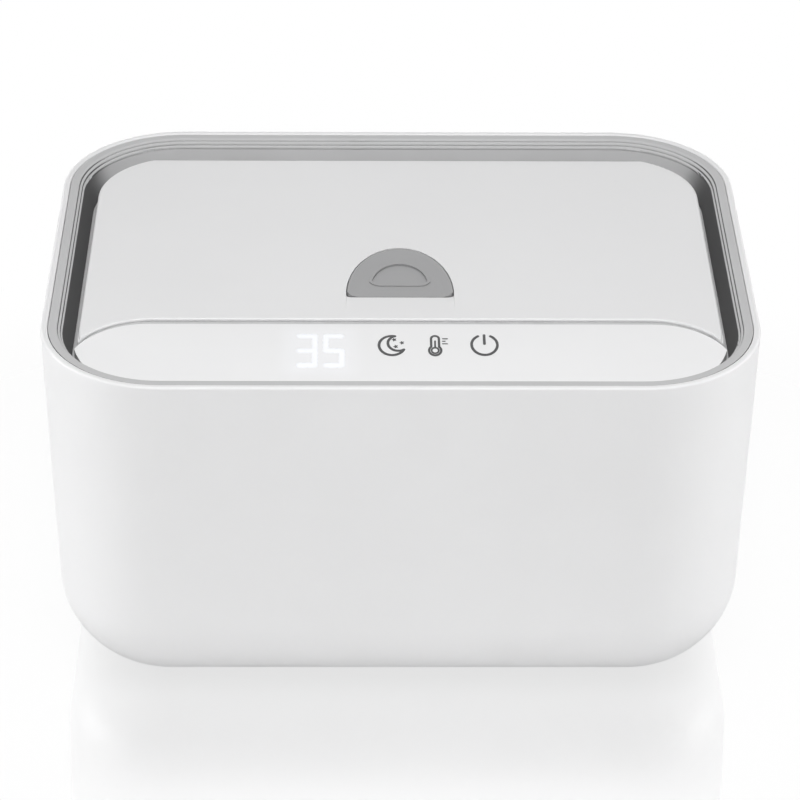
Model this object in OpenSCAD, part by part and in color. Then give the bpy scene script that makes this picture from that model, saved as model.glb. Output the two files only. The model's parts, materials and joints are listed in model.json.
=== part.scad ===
// Wipe warmer: a heated box with a pop-up lid, a curved control panel in front of the lid
// and a ribbed ring between the lid and the rim.
// Millimetres. X is the width, Y runs from the front to the back, Z is up.
// The origin is on the table, under the middle of the box.

/* [Body] */
// Overall width, at the rim
body_w = 220; // [205:1:260]
// Overall depth, at the rim
body_d = 166; // [156:1:200]
// Overall height, from the feet to the rim
body_h = 120; // [110:1:150]
// Radius of the rim's corners, seen from above
corner_r = 38; // [36:0.5:44]
// Lean of the walls towards the bottom, in degrees
draft_deg = 1.35; // [0.5:0.05:2]
// Radius of the rounded bottom edge
bottom_r = 30; // [22:0.5:31]
// Wall of the outer shell
shell_wall = 2.2; // [1.8:0.1:2.6]
// Radius of the rim's two edges
rim_r = 0.8; // [0.4:0.1:0.9]
// How far the feet stand out below the shell
foot_stand = 1.2; // [0.8:0.1:2.5]

/* [Ring] */
// Distance from the rim's outside to the lid's side
lid_inset = 11.3; // [10.8:0.1:13]
// Depth of the ring's flat land below the rim
land_drop = 0.4; // [0.2:0.1:1]
// Width of the ring's flat land
land_w = 1.85; // [1.2:0.05:2.2]
// Number of ribs below the land
rib_count = 3; // [2:1:4]
// Length of one rib down the slope
rib_pitch = 1.35; // [1:0.05:1.5]
// Slope of the first rib, in degrees
rib_slope = 41; // [35:1:50]
// Added slope of each further rib, in degrees
rib_turn = 11.5; // [6:0.5:14]
// Height of a rib's crown
rib_crown = 0.35; // [0.2:0.05:0.5]
// Thickness of the ring's wall
ring_wall = 1.4; // [1.2:0.1:1.6]

/* [Panel] */
// Distance from the rim's outside to the control panel
panel_inset = 9.7; // [9.5:0.1:10.5]
// Depth of the control panel, front to back
panel_d = 34.7; // [32:0.1:40]
// Radius of the control panel's curved top
panel_top_r = 150; // [120:5:220]
// Wall of the control panel
panel_wall = 2; // [1.6:0.1:2.4]
// Width of the grey seal between panel and lid
seal_w = 1.5; // [1:0.1:2]
// Step down from the lid's top to the panel
panel_step = 0.8; // [0.5:0.1:1.2]

/* [Lid] */
// Drop from the rim to the lid's top
lid_drop = 3.4; // [3:0.1:4]
// Height of the lid's edge, twice its rolled back edge
lid_h = 7.2; // [7:0.1:8]
// Thickness of the lid's top
lid_top_t = 2; // [1.6:0.1:2.4]
// Radius of the lid's top edges
lid_edge_r = 0.7; // [0.4:0.1:1]
// Thickness of the lid's skirt
lid_skirt = 2; // [1.6:0.1:2.2]
// Distance from the rim's outside to the lid's back
lid_back_inset = 12.4; // [12:0.1:14]
// Radius of the arcs that end the lid's front edge
horn_r = 25.6; // [24:0.1:27]
// Depth of the plug under the lid
plug_h = 8; // [8:0.5:12]
// Wall of the plug
plug_wall = 1.6; // [1.2:0.1:1.8]
// Thickness of the lid liner's flange
liner_flange_t = 2.4; // [2.2:0.1:2.8]

/* [Button] */
// Half width of the release button
button_half_w = 16.6; // [14:0.1:17.5]
// Length of the release button, front to back
button_l = 28.6; // [26:0.1:30]
// Depth of the finger scoop
scoop_depth = 1.3; // [1:0.1:1.6]
// Height of the boss round the button, under the lid's top
boss_h = 2.8; // [2.6:0.1:3]
// Distance from the lid's front edge to the button
button_setback = 15.7; // [15:0.1:18]
// Radius of the button's two front corners
button_corner_r = 1.6; // [1:0.1:3]
// Half width of the half-moon recess in the button
mark_half_w = 8.8; // [7:0.1:10]
// Length of the recess, front to back
mark_l = 12.9; // [10:0.1:14]
// Width of the ridge round the recess
ridge_w = 1; // [0.6:0.1:1.4]
// Height of the ridge, and depth of the recess
ridge_h = 0.35; // [0.2:0.05:0.5]
// Travel of the button and of the bolt
press_travel = 1.8; // [1.4:0.1:1.8]

/* [Tank] */
// Depth of the well that holds the wipes
well_depth = 80; // [65:1:82]
// Wall of the well
tank_wall = 1.6; // [1.2:0.1:2]
// Thickness of the deck round the well
deck_t = 2.2; // [1.8:0.1:2.6]
// Radius of the well's corners
well_r = 14; // [10:0.5:18]
// Width of the sealing land beside the well
side_land = 8.7; // [8.4:0.1:10]
// Width of the sealing land in front of the well
front_land = 5.8; // [5.6:0.1:7]

/* [Hinge] */
// Distance of each hinge from the middle
hinge_x = 48; // [40:0.5:56]
// Radius of the hinge pins
pin_r = 1.25; // [1:0.05:1.3]
// Length of the hinge pins
pin_l = 28; // [27:0.5:30]
// Width of the hinge arms
arm_w = 8; // [6:0.1:8]
// Outside radius of the hinge arms' eyes
eye_r = 2.35; // [2.2:0.05:2.4]

/* [Heater] */
// Width of the heating plate
plate_w = 150; // [120:1:156]
// Depth of the heating plate
plate_d = 74; // [60:1:76]
// Thickness of the heating plate
plate_t = 1.5; // [1:0.1:2]
// Thickness of the heater mat
mat_t = 1; // [0.8:0.1:1.5]
// Thickness of the insulation pad
pad_t = 4; // [3.8:0.1:4.5]

/* [Base] */
// Half width of the main board
main_half_w = 45; // [40:1:60]
// Height of the main board
main_h = 54; // [46:1:56]
// Distance of the main board from the well's front wall
stand_off = 5; // [4.6:0.1:8]
// Half width of the bottom cover
cover_half_w = 69.7; // [66:0.1:71]
// Half depth of the bottom cover
cover_half_d = 42.7; // [41:0.1:44]
// Thickness of the bottom cover
cover_t = 2.2; // [2:0.1:2.6]
// Radius of a foot
foot_r = 7; // [5:0.5:8]
// Height of the power socket's middle above the table
jack_z = 42; // [41:0.5:60]
// Distance of the power socket from the middle
jack_x = 55; // [-60:1:60]

/* [Screws] */
// Length of the screws that hold the tank
tank_screw_l = 11; // [9:0.5:14]
// Length of the screws that hold the panel
panel_screw_l = 5.6; // [5:0.1:6]
// Length of the screws that hold the display board
display_screw_l = 4.2; // [4:0.1:5]

/* [Fits] */
// Gap between fixed neighbours
fit_gap = 0.2; // [0.1:0.05:0.3]
// Gap between moving neighbours
run_gap = 0.35; // [0.3:0.05:0.4]
// Radial clearance of a pin in its bore
pin_gap = 0.05; // [0.02:0.01:0.08]

/* [Hidden] */
$fn = 96;
eps = 0.01;

half_w = body_w / 2;
half_d = body_d / 2;
lean = tan(draft_deg);
under_z = foot_stand;

// The ring's section, as [distance in from the rim's outside, height].
ring_out = shell_wall + 0.15;
land_z = body_h - land_drop;
function rib_angle(i) = rib_slope + i * rib_turn;
function rib_in(n) = n == 0 ? 0 : rib_in(n - 1) + rib_pitch * cos(rib_angle(n - 1));
function rib_down(n) = n == 0 ? 0 : rib_down(n - 1) + rib_pitch * sin(rib_angle(n - 1));
rib_end_in = ring_out + land_w + rib_in(rib_count);
foot_in = lid_inset - 2.1;

// Levels, from the lid down.
lid_top = body_h - lid_drop;
lid_bottom = lid_top - lid_h;
ledge_z = lid_bottom - run_gap;
ledge_t = 1.6;
deck_top = ledge_z - ledge_t;
deck_bottom = deck_top - deck_t;
well_floor = deck_top - well_depth;
tank_bottom = well_floor - tank_wall;

// The lid's outline and the panel's, seen from above.
lid_half_w = half_w - lid_inset;
lid_back = half_d - lid_back_inset;
lid_corner_r = corner_r - 10.5;
panel_half_w = half_w - panel_inset;
panel_front = -half_d + panel_inset;
panel_r = corner_r - 10.1;
panel_back = panel_front + panel_d;
lid_front = panel_back + seal_w + run_gap;
horn_x = lid_half_w - 22.7;
panel_horn_x = horn_x + 1.5;
panel_horn_r = horn_r - 1.3;
panel_back_z = lid_top - panel_step;

// The hinge axis is the middle of the lid's rolled back edge.
roll_r = lid_h / 2;
hinge_y = lid_back - roll_r;
hinge_z = lid_top - roll_r;
bore_r = pin_r + pin_gap;
slot_half = arm_w / 2 + run_gap;
spring_room = 6.6;
barrel_in = hinge_x - pin_l / 2 + 2;
barrel_out = hinge_x + pin_l / 2 + 4;

// The well.
well_half_w = lid_half_w - side_land;
well_front = lid_front + front_land;
well_back = hinge_y - 7;
plug_gap = 1.5;
plug_bottom = lid_bottom - plug_h;
plug_floor = plug_bottom + plug_wall;

// The button.
button_front = lid_front + button_setback;
scoop_floor = lid_top - scoop_depth;
ramp_end = lid_front + 1.5;
mark_y = button_front + 7.5;
boss_bottom = lid_top - lid_top_t - boss_h;
lip_top = boss_bottom - run_gap;
lip_t = 1.2;
lip_w = 1.2;
button_bottom = lip_top - lip_t;

// The bolt slides on the plug's floor and the button's wedges push it back.
bolt_z = plug_floor + run_gap;
bolt_t = 3;
bolt_top = bolt_z + bolt_t;
bolt_half_w = 9;
bolt_window_half_w = 7;
bolt_front = well_front + plug_gap + 1.9;
bolt_rear = bolt_front + 30;
nose_reach = 5;
wedge_y = bolt_front + 16.4;
wedge_bottom = bolt_z + press_travel + run_gap;
spring_post_y = bolt_rear + 10;

// Fasteners: shank radius, head radius and head height.
screw_r = 1.2;
head_r = 2.2;
head_h = 1.4;
tank_screw_in = 5.2;
boss_r = 3;

// The display board and what it carries.
board_t = 1.6;
board_top = deck_top - 0.3;
board_x = [-46, 46];
board_y = [panel_front + 7.3, panel_back - 2.9];
digit_x = -24.8;
digit_y = (board_y[0] + board_y[1]) / 2 + 0.6;
digit_w = 21;
digit_d = 22;
touch_x = [-3, 11.2, 25.3];
touch_y = panel_back - 13;

// The base.
floor_top = under_z + shell_wall;
rebate_gap = 0.3;
pad_h = 2;
pad_in = 5.7;
pad_out = 6.3;
cover_top = under_z + cover_t;
foot_x = cover_half_w - 13.7;
foot_y = cover_half_d - 12.7;
// The main board stands in front of the well, with its parts facing forward.
main_y = well_front - tank_wall - stand_off;
main_face = main_y - board_t;
main_top = deck_bottom - 5;
main_bottom = main_top - main_h;
terminal_w = 14;
terminal_h = 6;
terminal_d = 8;
terminal_y = main_face - terminal_d / 2;
terminal_z = main_bottom + 1;
heater_terminal_x = -22;
supply_terminal_x = 22;
plate_y = (well_front + well_back) / 2;
pad_z = tank_bottom - plate_t - mat_t - pad_t;
retainer_t = 1.5;
retainer_z = pad_z - retainer_t;

function deg_ring(n, a0, a1) = [for (i = [0:n]) a0 + (a1 - a0) * i / n];
function unit(v) = v / norm(v);
// Height of the panel's outer face at a place front to back.
function panel_z(y) = panel_back_z - panel_top_r
    + sqrt(panel_top_r * panel_top_r - (y - lid_front) * (y - lid_front));
// The shell's outside at a height, measured in from the rim's outside.
function wall_in(z) = (body_h - z) * lean;

// A rectangle with round corners, half_x wide each way and from y0 to y1.
module round_rect(half_x, y0, y1, r) {
    translate([-half_x + r, y0])
        square([2 * (half_x - r), y1 - y0]);
    translate([-half_x, y0 + r])
        square([2 * half_x, y1 - y0 - 2 * r]);
    for (x = [-half_x + r, half_x - r], y = [y0 + r, y1 - r])
        translate([x, y])
            circle(r);
}

// A plate with round corners between two heights.
module plate(half_x, y0, y1, r, z0, z1) {
    translate([0, 0, z0])
        linear_extrude(z1 - z0)
            round_rect(half_x, y0, y1, r);
}

// Carries a section round a rectangle with corners of radius r. The section's own X starts
// at the corner's centre and its Y is the height.
module swept(half_x, half_y, r) {
    cx = half_x - r;
    cy = half_y - r;
    for (q = [0:3])
        translate([cx * (q == 0 || q == 3 ? 1 : -1), cy * (q < 2 ? 1 : -1), 0])
            rotate([0, 0, 90 * q])
                rotate_extrude(angle = 90)
                    children();
    for (turn = [0, 180])
        rotate([0, 0, turn]) {
            translate([cx, cy, 0])
                rotate([90, 0, 0])
                    linear_extrude(2 * cy)
                        children();
            translate([-cx, cy, 0])
                rotate([90, 0, 90])
                    linear_extrude(2 * cx)
                        children();
        }
}

// A section drawn in Y and Z, carried along X from x0 to x1.
module along_x(x0, x1) {
    translate([x0, 0, 0])
        rotate([90, 0, 90])
            linear_extrude(x1 - x0)
                children();
}

// A cylinder along X, from x0 to x1.
module rod_x(x0, x1, y, z, r) {
    along_x(x0, x1)
        translate([y, z])
            circle(r);
}

// Copies a piece to both sides of the middle.
module both_sides() {
    children();
    mirror([1, 0, 0])
        children();
}

// A pan-head screw. Its head's seat is at the origin and its shank runs along +Z.
module screw(length) {
    cylinder(r = screw_r, h = length);
    difference() {
        translate([0, 0, -head_h])
            cylinder(r1 = head_r - 0.4, r2 = head_r, h = head_h);
        translate([0, 0, -head_h - eps])
            cylinder(r = 1, h = 0.7, $fn = 6);
    }
}

// Screws with their heads down at a list of places.
module screws_up(places, z, length) {
    for (p = places)
        translate([p[0], p[1], z])
            screw(length);
}

// Screws with their heads up at a list of places.
module screws_down(places, z, length) {
    for (p = places)
        translate([p[0], p[1], z])
            mirror([0, 0, 1])
                screw(length);
}

// Holes through a plate at a list of places.
module holes(places, r, z0, z1) {
    for (p = places)
        translate([p[0], p[1], z0])
            cylinder(r = r, h = z1 - z0);
}

// A round wire along a path. ref is a direction that the path never runs along.
module wire_path(path, r, ref, sides = 6) {
    n = len(path);
    dirs = [for (i = [0:n - 1]) unit(path[min(i + 1, n - 1)] - path[max(i - 1, 0)])];
    side = [for (d = dirs) unit(cross(ref, d))];
    points = [for (i = [0:n - 1], k = [0:sides - 1])
        path[i] + r * (cos(360 * k / sides) * side[i]
            + sin(360 * k / sides) * cross(dirs[i], side[i]))];
    walls = [for (i = [0:n - 2], k = [0:sides - 1])
        let (a = i * sides + k, b = i * sides + (k + 1) % sides)
            [a, a + sides, b + sides, b]];
    ends = [[for (k = [0:sides - 1]) k], [for (k = [sides - 1:-1:0]) (n - 1) * sides + k]];
    polyhedron(points = points, faces = concat(walls, ends), convexity = 8);
}

// A lead of round wire through a list of corners.
module lead(route, r) {
    for (i = [0:len(route) - 2]) {
        run = route[i + 1] - route[i];
        translate(route[i])
            rotate([0, acos(run[2] / norm(run)), atan2(run[1], run[0])])
                cylinder(r = r, h = norm(run));
    }
    for (i = [1:1:len(route) - 2])
        translate(route[i])
            sphere(r);
}

// ---- Outer shell ----------------------------------------------------------------------

arc_x = corner_r - bottom_r / cos(draft_deg) - (body_h - under_z - bottom_r) * lean;
arc_z = under_z + bottom_r;

// Half of the tub's section, moved in from the outside by inset, up to a height.
module tub_section(inset, top) {
    r = bottom_r - inset;
    low = under_z + inset;
    polygon([[0, low], [arc_x, low],
        [arc_x + r * cos(draft_deg), arc_z - r * sin(draft_deg)],
        [corner_r - inset / cos(draft_deg) - wall_in(top), top], [0, top]]);
    intersection() {
        translate([arc_x, arc_z])
            circle(r);
        translate([arc_x, low])
            square(r);
    }
}

// The sliver between a corner and the circle of radius r that rounds it. side is 1 for a
// corner on the circle's right and -1 for one on its left. lean_deg is the side face's lean.
module corner_sliver(r, side, lean_deg = 0) {
    difference() {
        polygon([[0, 0], side * (r + 1) * [cos(lean_deg), -sin(lean_deg)],
            [side * (r + 1), r + 1], [0, r + 1]]);
        circle(r);
    }
}

// The tub's wall, with round edges at the rim.
module wall_section() {
    difference() {
        tub_section(0, body_h);
        tub_section(shell_wall, body_h + 1);
        translate([corner_r - rim_r * (1 + sin(draft_deg)) / cos(draft_deg), body_h - rim_r])
            corner_sliver(rim_r, 1, draft_deg);
        translate([corner_r - (shell_wall - rim_r * (1 - sin(draft_deg))) / cos(draft_deg),
            body_h - rim_r])
            corner_sliver(rim_r, -1, draft_deg);
    }
}

tank_screw_places = concat(
    [for (x = [-1, 1], y = [-30, 30]) [x * (half_w - tank_screw_in), y]],
    [for (x = [-50, 50], y = [-1, 1]) [x, y * (half_d - tank_screw_in)]]);
cover_screw_places = [[cover_half_w - 2.9, 0], [2.9 - cover_half_w, 0],
    [0, cover_half_d - 2.9], [0, 2.9 - cover_half_d]];
tank_boss_h = 26;
jack_nose_r = 4;
shelf_z = jack_z - 5.5 - board_t;
jack_wall_y = half_d - wall_in(jack_z);
jack_inner_y = jack_wall_y - shell_wall;
jack_screw_places = [for (s = [-1, 1]) [jack_x + s * 8.5, jack_inner_y - 6]];

module shell_bosses() {
    for (p = tank_screw_places)
        translate([p[0], p[1], deck_bottom - tank_boss_h])
            cylinder(r = boss_r, h = tank_boss_h);
    // The frame that the bottom cover screws up to.
    difference() {
        plate(cover_half_w + pad_out, -cover_half_d - pad_out, cover_half_d + pad_out, 8,
            floor_top - eps, cover_top + pad_h);
        plate(cover_half_w - pad_in, -cover_half_d + pad_in, cover_half_d - pad_in, 4,
            under_z, cover_top + pad_h + 1);
    }
    // The shelf under the power socket.
    translate([jack_x - 11, jack_inner_y - 13, shelf_z - 2])
        cube([22, 13.5, 2]);
}

module outer_shell() {
    color("white")
        difference() {
            union() {
                swept(half_w, half_d, corner_r)
                    wall_section();
                translate([corner_r - half_w, corner_r - half_d, under_z])
                    cube([body_w - 2 * corner_r, body_d - 2 * corner_r, shell_wall]);
                intersection() {
                    shell_bosses();
                    union() {
                        swept(half_w, half_d, corner_r)
                            tub_section(shell_wall / 2, body_h);
                        translate([corner_r - half_w, corner_r - half_d, under_z])
                            cube([body_w - 2 * corner_r, body_d - 2 * corner_r, body_h]);
                    }
                }
            }
            plate(cover_half_w + rebate_gap, -cover_half_d - rebate_gap,
                cover_half_d + rebate_gap, 8, under_z - 1, cover_top);
            plate(cover_half_w - pad_in, -cover_half_d + pad_in, cover_half_d - pad_in, 4,
                under_z - 1, cover_top + pad_h + 1);
            holes(cover_screw_places, screw_r, cover_top - 1, cover_top + pad_h + 1);
            holes(tank_screw_places, screw_r, deck_bottom - 12, deck_bottom + 1);
            holes(jack_screw_places, screw_r, shelf_z - 3, shelf_z + 1);
            translate([jack_x, jack_inner_y - 1, jack_z])
                rotate([-90, 0, 0])
                    cylinder(r = jack_nose_r + fit_gap, h = shell_wall + 3);
        }
}

// ---- Ribbed ring between the rim and the lid -----------------------------------------

// Turns [distance in from the rim, height] into the swept section's own place.
function from_rim(p) = [corner_r - p[0], p[1]];

rib_feet = [for (i = [0:rib_count])
    [ring_out + land_w + rib_in(i), land_z - rib_down(i)]];
rib_r = (rib_pitch * rib_pitch / 4 + rib_crown * rib_crown) / (2 * rib_crown);
rib_axes = [for (i = [0:rib_count - 1]) (rib_feet[i] + rib_feet[i + 1]) / 2
    - (rib_r - rib_crown) * [sin(rib_angle(i)), cos(rib_angle(i))]];
ledge_end = lid_inset + 1.5;

// The ring's section: a land, ribs with round crowns, a steep band and a ledge.
module ring_section() {
    polygon([for (p = concat(
        [[ring_out, land_z]], rib_feet,
        [[foot_in, ledge_z], [ledge_end, ledge_z], [ledge_end, deck_top],
        [foot_in - ring_wall, deck_top],
        rib_feet[rib_count] - [ring_wall, 0.4],
        [ring_out + ring_wall, land_z - ring_wall - rib_down(2) / 2],
        [ring_out + ring_wall, land_z - 5], [ring_out, land_z - 5]]))
        from_rim(p)]);
    for (p = rib_axes)
        translate(from_rim(p))
            circle(rib_r);
}

module trim_ring() {
    color("darkgray")
        swept(half_w, half_d, corner_r)
            ring_section();
}

// ---- Inner tank, with the deck and the hinge arms ------------------------------------

deck_in = 3;
panel_screw_places = [for (s = [-1, 1]) [s * 80, (panel_front + panel_back) / 2]];
retainer_screw_places = [for (x = [-1, 1], y = [-1, 1])
    [x * (plate_w / 2 - 12), plate_y + y * (plate_d / 2 + 3.5)]];
main_screw_places = [for (x = [-1, 1], z = [main_bottom + 5, main_top - 5])
    [x * (main_half_w - 5), z]];

// The arm's section in Y and Z: a leaning stem below a round eye.
module arm_section() {
    stem_half = 1.6;
    base_y = hinge_y - 3.2;
    stem = unit([base_y - hinge_y, deck_top - hinge_z]);
    flank = stem_half * [-stem[1], stem[0]];
    reach = (hinge_z - deck_bottom - deck_t / 2) / -stem[1];
    axis = [hinge_y, hinge_z];
    polygon([axis + flank, axis - flank, axis + reach * stem - flank,
        axis + reach * stem + flank]);
    translate(axis)
        circle(eye_r);
}

module inner_tank() {
    color("whitesmoke")
        difference() {
            union() {
                plate(half_w - deck_in, -half_d + deck_in, half_d - deck_in,
                    corner_r - deck_in, deck_bottom, deck_top);
                plate(well_half_w + tank_wall, well_front - tank_wall,
                    well_back + tank_wall, well_r + tank_wall, tank_bottom, deck_bottom + 1);
                both_sides()
                    along_x(hinge_x - arm_w / 2, hinge_x + arm_w / 2)
                        arm_section();
                for (p = retainer_screw_places)
                    translate([p[0], p[1], pad_z])
                        cylinder(r = boss_r, h = tank_bottom - pad_z + eps);
                for (p = main_screw_places)
                    translate([p[0], main_y, p[1]])
                        rotate([-90, 0, 0])
                            cylinder(r = boss_r, h = stand_off + eps);
            }
            plate(well_half_w, well_front, well_back, well_r, well_floor, body_h);
            both_sides()
                rod_x(hinge_x - arm_w, hinge_x + arm_w, hinge_y, hinge_z, bore_r);
            holes(tank_screw_places, screw_r + fit_gap, deck_bottom - 1, deck_top + 1);
            holes(panel_screw_places, screw_r + fit_gap, deck_bottom - 1, deck_top + 1);
            holes(retainer_screw_places, screw_r, pad_z - 1, tank_bottom);
            for (p = main_screw_places)
                translate([p[0], main_y - 1, p[1]])
                    rotate([-90, 0, 0])
                        cylinder(r = screw_r, h = stand_off + 0.6);
            // The window for the display board.
            translate([board_x[0] - 2, board_y[0] - 2, deck_bottom - 1])
                cube([board_x[1] - board_x[0] + 4, board_y[1] - board_y[0] + 3.4, deck_t + 2]);
            // The notch that the bolt enters.
            translate([-bolt_half_w, well_front - tank_wall - 3, bolt_z - 1.5])
                cube([2 * bolt_half_w, tank_wall + 3 + eps, deck_top]);
        }
}

module tank_screws() {
    color("silver")
        screws_down(tank_screw_places, deck_top, tank_screw_l);
}

// ---- Control panel and its electronics -----------------------------------------------

// The area in front of a line that runs straight in the middle and curls forward at its
// ends: its middle is at y, its arcs have radius r about x.
module front_zone(y, x, r, grow = 0) {
    far = body_d;
    translate([-x, y + grow - far])
        square([2 * x, far]);
    translate([-x - r - grow, y - r - far])
        square([2 * (x + r + grow), far]);
    for (s = [-1, 1])
        translate([s * x, y - r])
            circle(r + grow);
}

module panel_outline(inset) {
    intersection() {
        round_rect(panel_half_w - inset, panel_front + inset, half_d, panel_r - inset);
        front_zone(panel_back, panel_horn_x, panel_horn_r, -inset);
    }
}

// Everything below the panel's curved top, or below a face that lies depth under it.
module under_panel_top(depth) {
    rod_x(-half_w, half_w, lid_front, panel_back_z - panel_top_r, panel_top_r - depth,
        $fn = 480);
}

display_screw_places = [for (x = [board_x[0] + 3.5, board_x[1] - 3.5],
    y = [board_y[0] + 3.2, board_y[1] - 3.2]) [x, y]];

module control_panel() {
    color("white")
        intersection() {
            difference() {
                union() {
                    translate([0, 0, ledge_z])
                        linear_extrude(body_h - ledge_z)
                            panel_outline(0);
                    for (p = display_screw_places)
                        translate([p[0], p[1], board_top])
                            cylinder(r = 2.6, h = body_h - board_top);
                    for (p = panel_screw_places)
                        translate([p[0], p[1], deck_top])
                            cylinder(r = boss_r, h = body_h - deck_top);
                }
                intersection() {
                    difference() {
                        translate([0, 0, ledge_z - 1])
                            linear_extrude(body_h - ledge_z)
                                panel_outline(panel_wall);
                        holes(display_screw_places, 2.6, board_top, body_h);
                        holes(panel_screw_places, boss_r, deck_top, body_h);
                    }
                    under_panel_top(panel_wall);
                }
                holes(display_screw_places, screw_r, board_top - 1, board_top + 3);
                holes(panel_screw_places, screw_r, deck_top - 1, deck_top + 4);
            }
            under_panel_top(0);
        }
}

module panel_seal() {
    color("gray")
        translate([0, 0, ledge_z])
            linear_extrude(panel_back_z - 0.1 - ledge_z)
                difference() {
                    intersection() {
                        round_rect(lid_half_w, panel_front, half_d, panel_r);
                        front_zone(lid_front - run_gap, horn_x, horn_r - run_gap);
                    }
                    front_zone(panel_back, panel_horn_x, panel_horn_r, 0.1);
                }
}

module panel_screws() {
    color("silver")
        screws_up(panel_screw_places, deck_bottom, panel_screw_l);
}

module display_board() {
    color("seagreen")
        difference() {
            translate([board_x[0], board_y[0], board_top - board_t])
                cube([board_x[1] - board_x[0], board_y[1] - board_y[0], board_t]);
            holes(display_screw_places, screw_r + fit_gap, board_top - 2 * board_t,
                board_top + 1);
        }
}

module display_screws() {
    color("silver")
        screws_up(display_screw_places, board_top - board_t, display_screw_l);
}

module led_display() {
    color("dimgray")
        intersection() {
            translate([digit_x - digit_w / 2, digit_y - digit_d / 2, board_top])
                cube([digit_w, digit_d, body_h - board_top]);
            under_panel_top(panel_wall + run_gap);
        }
}

// A coil that stands on the board and reaches up to the panel's inside.
function coil_up(x, y, z0, z1, r, turns) = [for (i = [0:turns * 12])
    [x + r * cos(30 * i), y + r * sin(30 * i), z0 + (z1 - z0) * i / (turns * 12)]];

module touch_springs() {
    wire = 0.4;
    top = panel_z(touch_y - 3) - panel_wall - 0.3;
    color("gold")
        for (x = touch_x)
            wire_path(coil_up(x, touch_y, board_top + wire, top - wire, 2.6, 3), wire, [0, 0, 1]);
}

// The flat cable from the display board down to the main board's face.
module display_cable() {
    x = -8;
    y = board_y[0] + 10;
    width = 8;
    t = 0.8;
    z = main_top - 8;
    color("lightgray") {
        translate([x - width / 2, y - t / 2, z])
            cube([width, t, board_top - board_t - z]);
        translate([x - width / 2, y - t / 2, z])
            cube([width, main_face - y + t / 2, t]);
    }
}

// ---- Lid ------------------------------------------------------------------------------

module lid_outline(inset) {
    difference() {
        round_rect(lid_half_w - inset, panel_front, lid_back - inset, lid_corner_r - inset);
        front_zone(lid_front, horn_x, horn_r, inset);
    }
}

// The lid's side view: flat above and below, with the back edge rolled about the hinge.
module lid_side(top, bottom, r) {
    translate([-body_d, bottom])
        square([body_d + hinge_y, top - bottom]);
    translate([hinge_y, hinge_z])
        circle(r);
}

// Half an ellipse with a flat front at y, grown all round.
module half_moon(half_x, y, length, r, grow) {
    a = half_x + grow;
    b = length + 2 * grow;
    intersection() {
        polygon([for (t = deg_ring(48, 0, 180)) [a * cos(t), y - grow + b * sin(t)]]);
        round_rect(a, y - grow, y + b + r + 1, r + grow);
    }
}

module button_outline(grow) {
    half_moon(button_half_w, button_front, button_l, button_corner_r, grow);
}

// The scoop in the button, in layers that widen upwards: each step is a share of the outline's
// size and a share of the depth.
scoop_steps = [[0.78, 1], [0.83, 0.93], [0.89, 0.66], [0.95, 0.28], [0.985, 0.08]];

module scoop() {
    ring = concat([[-button_half_w, -2], [button_half_w, -2]],
        [for (t = deg_ring(40, 0, 180)) [button_half_w * cos(t), button_l * sin(t)]]);
    n = len(ring);
    levels = len(scoop_steps);
    polyhedron(
        [for (step = scoop_steps, p = ring)
            [step[0] * p[0], button_front + step[0] * p[1], lid_top - step[1] * scoop_depth]],
        concat([[for (j = [0:n - 1]) j]],
            [[for (j = [n - 1:-1:0]) (levels - 1) * n + j]],
            [for (i = [0:levels - 2], j = [0:n - 1])
                let (k = (j + 1) % n)
                    [i * n + j, (i + 1) * n + j, (i + 1) * n + k, i * n + k]]));
}

// The ramp in the lid's top, from the front of the button up to the lid's front edge.
module ramp() {
    slope = scoop_depth / (button_front - ramp_end);
    side = button_half_w + run_gap - 0.1;
    along_x(-side, side)
        polygon([[button_front + 1, scoop_floor], [button_front, scoop_floor],
            [ramp_end - 1, lid_top + slope], [button_front + 1, lid_top + 1]]);
}

// What the lid's round top edges take away: the sides and the back, then the front with its
// two arcs.
module lid_edge() {
    z = lid_top - lid_edge_r;
    swept(lid_half_w, lid_back, lid_corner_r)
        translate([lid_corner_r - lid_edge_r, z])
            corner_sliver(lid_edge_r, 1);
    along_x(-horn_x, horn_x)
        translate([lid_front + lid_edge_r, z])
            corner_sliver(lid_edge_r, -1);
    both_sides()
        translate([horn_x, lid_front - horn_r, 0])
            rotate_extrude(angle = 90)
                translate([horn_r + lid_edge_r, z])
                    corner_sliver(lid_edge_r, -1);
}

screw_back_y = lid_back - lid_skirt - 3.8;
lid_screw_places = concat(
    [for (x = [-1, 1], y = [-22, 36]) [x * (lid_half_w - lid_skirt - 2.7), y]],
    [for (x = [-18, 18]) [x, screw_back_y]]);

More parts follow.
